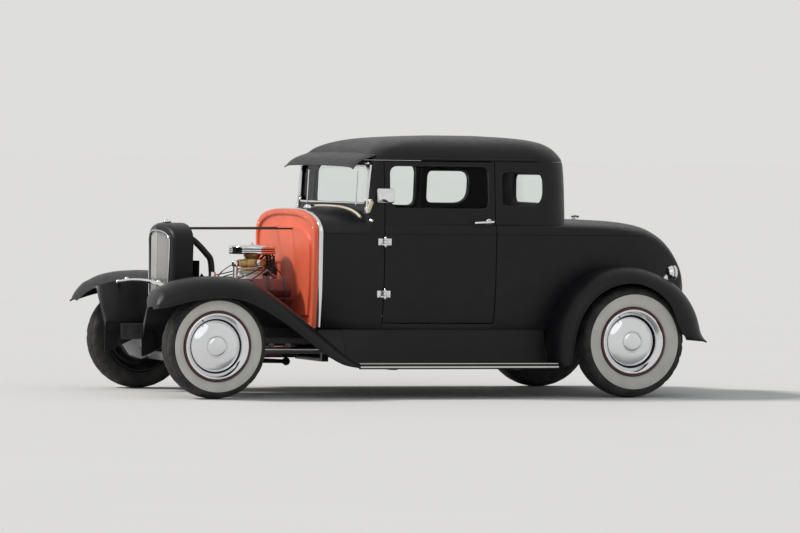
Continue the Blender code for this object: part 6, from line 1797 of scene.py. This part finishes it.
def sew_channels(pad, seams, top, border_x, border_y, deep=0.0095, wide=0.0075):
    """Press the sewn channels and the cross seam of the border into the pad's upper side."""
    for point in pad.data.vertices:
        x, y, z = point.co
        if z < top * 0.45:
            continue
        across = min(max((border_x - abs(x)) / 0.02, 0.0), 1.0)
        along = min(max((border_y - abs(y)) / 0.02, 0.0), 1.0)
        nearest = min(abs(x - s) for s in seams)
        press = deep * math.exp(-(nearest / wide) ** 2) * across * along
        edge = min(abs(abs(x) - border_x) if abs(y) < border_y else 1.0, abs(abs(y) - border_y)
            if abs(x) < border_x else 1.0)
        press = max(press, deep * 0.8 * math.exp(-(edge / wide) ** 2))
        point.co.z -= press
    return pad


def make_bench():
    seams = arc(-0.44, 0.44, 11)
    for name, size, place, lean in (("seat_cushion", (0.52, 0.2, 0.054), (0.0, 0.4755, 0.585), 0.0),
                                    ("seat_back", (0.52, 0.222, 0.042), (0.0, 0.808, 0.755), 78.0)):
        half_x, half_y, half_z = size
        pad = padded_form((-half_x, -half_y, -half_z), (half_x, half_y, half_z))
        sew_channels(pad, seams, half_z, half_x - 0.05, half_y - 0.045)
        modify(pad, "DECIMATE", ratio=pad_kept_faces)
        turn = Matrix.Translation(place) @ Matrix.Rotation(math.radians(lean), 4, "X")
        pad.data.transform(turn)
        shape = BVHTree.FromObject(pad, bpy.context.evaluated_depsgraph_get())
        finish_piece(pad, name + "_pad", "car", "leather", LEATHER, degrees=60)
        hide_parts(name)
        outline = closer(rounded(rectangle(-half_x - 0.004, half_x + 0.004, -half_y - 0.004, half_y + 0.004),
            (0.1,) * 4, 6), 0.02)
        piping = []
        for a, b in outline:
            source = turn @ Vector((a * 0.985, b * 0.965, half_z * 3.2))
            hit = shape.ray_cast(source, (turn.to_3x3() @ Vector(DOWN)))[0]
            piping.append(hit or turn @ Vector((a, b, half_z)))
        welt = ring_of(piping, 0.0042)
        finish_piece(welt, name + "_piping", "car", "leather", LEATHER, degrees=60)


def make_dashboard():
    refined("dashboard", 0.008, 40, SATIN)
    face, dial_z = -0.292, 1.052
    parts, faces, marks = [], [], []
    for x, r in ((0.33, 0.045), (0.225, 0.03), (0.435, 0.03), (0.0, 0.03)):
        centre = (x, face, dial_z)
        parts.append(turned([(r, -0.001), (r, 0.0035), (r + 0.0035, 0.0055), (r + 0.0065, 0.0035),
            (r + 0.007, -0.001)], ALONG, centre, 48, closed=True))
        faces.append(turned([(0.0, 0.0012), (r + 0.001, 0.0012), (r + 0.001, -0.001), (0.0, -0.001)], ALONG,
            centre, 40))
        for a in arc(-2.3, 2.3, 10):
            inner, outer = Vector((math.sin(a), 0, math.cos(a))) * r * 0.78, Vector((math.sin(a), 0,
                math.cos(a))) * r * 0.93
            marks.append(rod([Vector((x, face + 0.0016, dial_z)) + inner,
                Vector((x, face + 0.0016, dial_z)) + outer], 0.0008, 1))
        needle = Vector((math.sin(-1.7), 0, math.cos(-1.7))) * r * 0.72
        marks.append(rod([Vector((x, face + 0.0022, dial_z)), Vector((x, face + 0.0022, dial_z)) + needle],
            0.0009, 1))
    for x in (-0.11, -0.17, 0.11, 0.52):
        parts.append(turned([(0.0, 0.022), (0.008, 0.02), (0.01, 0.014), (0.006, 0.008), (0.004, 0.004),
            (0.009, 0.002), (0.009, -0.002), (0.0, -0.002)], ALONG, (x, face, 1.03), 24))
    parts.append(rod([(-0.5, face + 0.001, 1.0), (-0.24, face + 0.001, 1.0), (-0.24, face + 0.001, 1.098),
        (-0.5, face + 0.001, 1.098), (-0.5, face + 0.001, 1.0), (-0.24, face + 0.001, 1.0)], 0.0018, 1))
    plated(parts, "dial_bezels")
    finish_piece(faces, "dial_faces", "car", "cast", BLACK_CAST)
    finish_piece(marks, "dial_marks", "car", "cast", CREAM_DIAL_PRINT_AND_PAINTED_HIGHLIGHT)


def make_controls():
    refined("steering_wheel", 0.0, 40, BLACK_CAST)
    rake = math.radians(26)
    axis = Vector((0, math.cos(rake), math.sin(rake)))
    centre = Vector((0.33, -0.082, 0.985))
    horn = turned([(0.0, 0.0175), (0.012, 0.0165), (0.02, 0.012), (0.0235, 0.006), (0.0245, -0.002),
        (0.0, -0.002)], axis, centre + axis * 0.016, 40)
    collar = turned([(0.0, 0.0), (0.0235, 0.0), (0.0245, 0.004), (0.0245, 0.036), (0.02, 0.04), (0.0, 0.04)],
        -axis, centre - axis * 0.18, 32)
    lever = path_through([(0.0, -0.14, 0.535), (0.004, -0.12, 0.64), (0.006, -0.075, 0.76),
        (0.01, -0.055, 0.842)], 6)
    parts = [horn, collar, rod(lever, 0.0075, 3, 0, (1.1, 0.75))]
    for x in (0.235, 0.33):
        parts.append(rod([(x, -0.5, 0.44), (x, -0.47, 0.52), (x, -0.485, 0.61)], 0.006, 2, 5))
    plated(parts, "bright_controls")
    knob = turned([(0.0, 0.024), (0.012, 0.021), (0.021, 0.012), (0.024, 0.0), (0.02, -0.013), (0.01, -0.021),
        (0.0, -0.022)], UP, (0.01, -0.055, 0.856), 32)
    boot = turned([(0.0, 0.11), (0.012, 0.108), (0.018, 0.09), (0.015, 0.078), (0.028, 0.06), (0.025, 0.048),
        (0.044, 0.028), (0.04, 0.018), (0.066, 0.002), (0.068, -0.004), (0.0, -0.004)], UP,
        (0.0, -0.14, 0.505), 40)
    pads = [block((x - 0.03, -0.492, 0.59), (x + 0.03, -0.478, 0.65), 0.005) for x in (0.235, 0.33)]
    pads.append(block((0.4, -0.56, 0.44), (0.445, -0.52, 0.56), 0.005))
    finish_piece([knob, boot] + pads, "shift_knob_pedals", "car", "rubber", SEAL_RUBBER, degrees=50)


def make_trim():
    liner = cut(body_form(wall + 0.0006, False), body_form(wall + 0.007, False))
    for name, side in SIDES:
        low, high = door_low + 0.03, window_low - 0.055
        outline = rounded(rectangle(door_front_y + 0.04, door_rear_y - 0.04, low, high), (0.08,) * 4)
        card = common(duplicate(liner, "card"), side_prism(outline, side, 0.6))
        bevel_edges(card, 0.002, 2, 40)
        finish_piece(card, "door_card_" + name, "door_" + name, "leather", LEATHER, degrees=40)
        tree = BVHTree.FromObject(card, bpy.context.evaluated_depsgraph_get())
        handles = []
        for y, z, reach in ((0.1, 0.8, 0.085), (0.315, 0.93, 0.07)):
            hit = tree.ray_cast(Vector((0, y, z)), Vector((side, 0, 0)))[0]
            root = hit or Vector((side * 0.6, y, z))
            handles.append(turned([(0.0, 0.014), (0.01, 0.013), (0.018, 0.006), (0.02, -0.002),
                (0.0, -0.002)], (-side, 0, 0), root, 28))
            end = root + Vector((-side * 0.016, -reach, -reach * 0.35))
            handles.append(rod([root + Vector((-side * 0.01, 0, 0)), end], 0.0052, 3))
            handles.append(rod([end, end + Vector((-side * 0.024, 0, 0))], 0.0085, 3))
        plated(handles, "door_winders_" + name, "door_" + name)
    lining = common(liner, block((-0.6, cab_front_y + 0.06, window_top + 0.03), (0.6, cab_back_y - 0.08, 2)))
    finish_piece(lining, "roof_lining", "car", "leather", HEADLINER, degrees=40)


make_bench()
make_dashboard()
make_controls()
make_trim()


# Studio: a pale floor and surround, soft lights and the camera


backdrop_colour = (0.735, 0.73, 0.718)


def stage_look(name, colour, rough):
    g = Graph(name)
    g.bump([(g.noise(120.0, detail=2.0), 0.02, 0.001)])
    return g.set(Base_Color=g.mix(g.spread(g.noise(0.6), 0.0, 1.0), colour, tuple(c * 0.985 for c in colour)),
        Roughness=rough)


def make_stage():
    deselect()
    bpy.ops.mesh.primitive_circle_add(vertices=96, radius=350.0, fill_type="NGON", location=(0, 0, 0))
    floor = bpy.context.object
    floor.name = "studio_floor"
    floor.data.materials.append(stage_look("studio_floor", (0.76, 0.756, 0.745), 0.9))
    world = bpy.data.worlds.new("studio")
    bpy.context.scene.world = world
    world.use_nodes = True
    tree = world.node_tree
    shade = tree.nodes["Background"]
    shade.inputs["Color"].default_value = (0.95, 0.975, 1.0, 1.0)
    shade.inputs["Strength"].default_value = 0.42
    seen = tree.nodes.new("ShaderNodeBackground")
    seen.inputs["Color"].default_value = (*backdrop_colour, 1.0)
    seen.inputs["Strength"].default_value = 1.0
    path = tree.nodes.new("ShaderNodeLightPath")
    first = tree.nodes.new("ShaderNodeMath")
    second = tree.nodes.new("ShaderNodeMath")
    for node in (first, second):
        node.operation = "MAXIMUM"
    blend = tree.nodes.new("ShaderNodeMixShader")
    tree.links.new(path.outputs["Is Camera Ray"], first.inputs[0])
    tree.links.new(path.outputs["Is Glossy Ray"], first.inputs[1])
    tree.links.new(first.outputs[0], second.inputs[0])
    tree.links.new(path.outputs["Is Transmission Ray"], second.inputs[1])
    tree.links.new(second.outputs[0], blend.inputs["Fac"])
    tree.links.new(shade.outputs[0], blend.inputs[1])
    tree.links.new(seen.outputs[0], blend.inputs[2])
    tree.links.new(blend.outputs[0], tree.nodes["World Output"].inputs["Surface"])


def soft_sun(name, source, strength, spread_degrees, colour=(1, 1, 1)):
    """An even soft light from one side, the same over the whole floor."""
    light = bpy.data.lights.new(name, "SUN")
    light.energy = strength
    light.angle = math.radians(spread_degrees)
    light.color = colour
    lamp = bpy.data.objects.new(name, light)
    bpy.context.scene.collection.objects.link(lamp)
    lamp.location = Vector(source) * 5
    lamp.rotation_euler = (-Vector(source)).to_track_quat("-Z", "Y").to_euler()


def make_lights():
    soft_sun("key_light", (-0.3, -0.78, 0.75), 2.4, 12.0, (1.0, 0.975, 0.94))
    soft_sun("fill_light", (0.8, -0.3, 0.55), 0.16, 40.0, (0.95, 0.97, 1.0))


def make_camera():
    turn, rise, roll = math.radians(68.8914), math.radians(1.30539), math.radians(0.79557)
    back = Vector((math.sin(turn) * math.cos(rise), -math.cos(turn) * math.cos(rise), math.sin(rise)))
    right = (-back).cross(Vector(UP)).normalized()
    up = right.cross(-back)
    across = right * math.cos(roll) + up * math.sin(roll)
    upward = -right * math.sin(roll) + up * math.cos(roll)
    data = bpy.data.cameras.new("camera")
    data.sensor_width = 36.0
    data.sensor_fit = "HORIZONTAL"
    data.lens = 254.27
    data.clip_start, data.clip_end = 0.5, 400.0
    camera = bpy.data.objects.new("camera", data)
    bpy.context.scene.collection.objects.link(camera)
    turn_to = Matrix((across, upward, back)).transposed().to_4x4()
    camera.matrix_world = Matrix.Translation((31.83952, -12.22421, 1.53803)) @ turn_to
    bpy.context.scene.camera = camera


make_stage()
make_lights()
make_camera()
bpy.data.objects.remove(outer_form, do_unlink=True)
bpy.context.scene.view_settings.view_transform = "Standard"
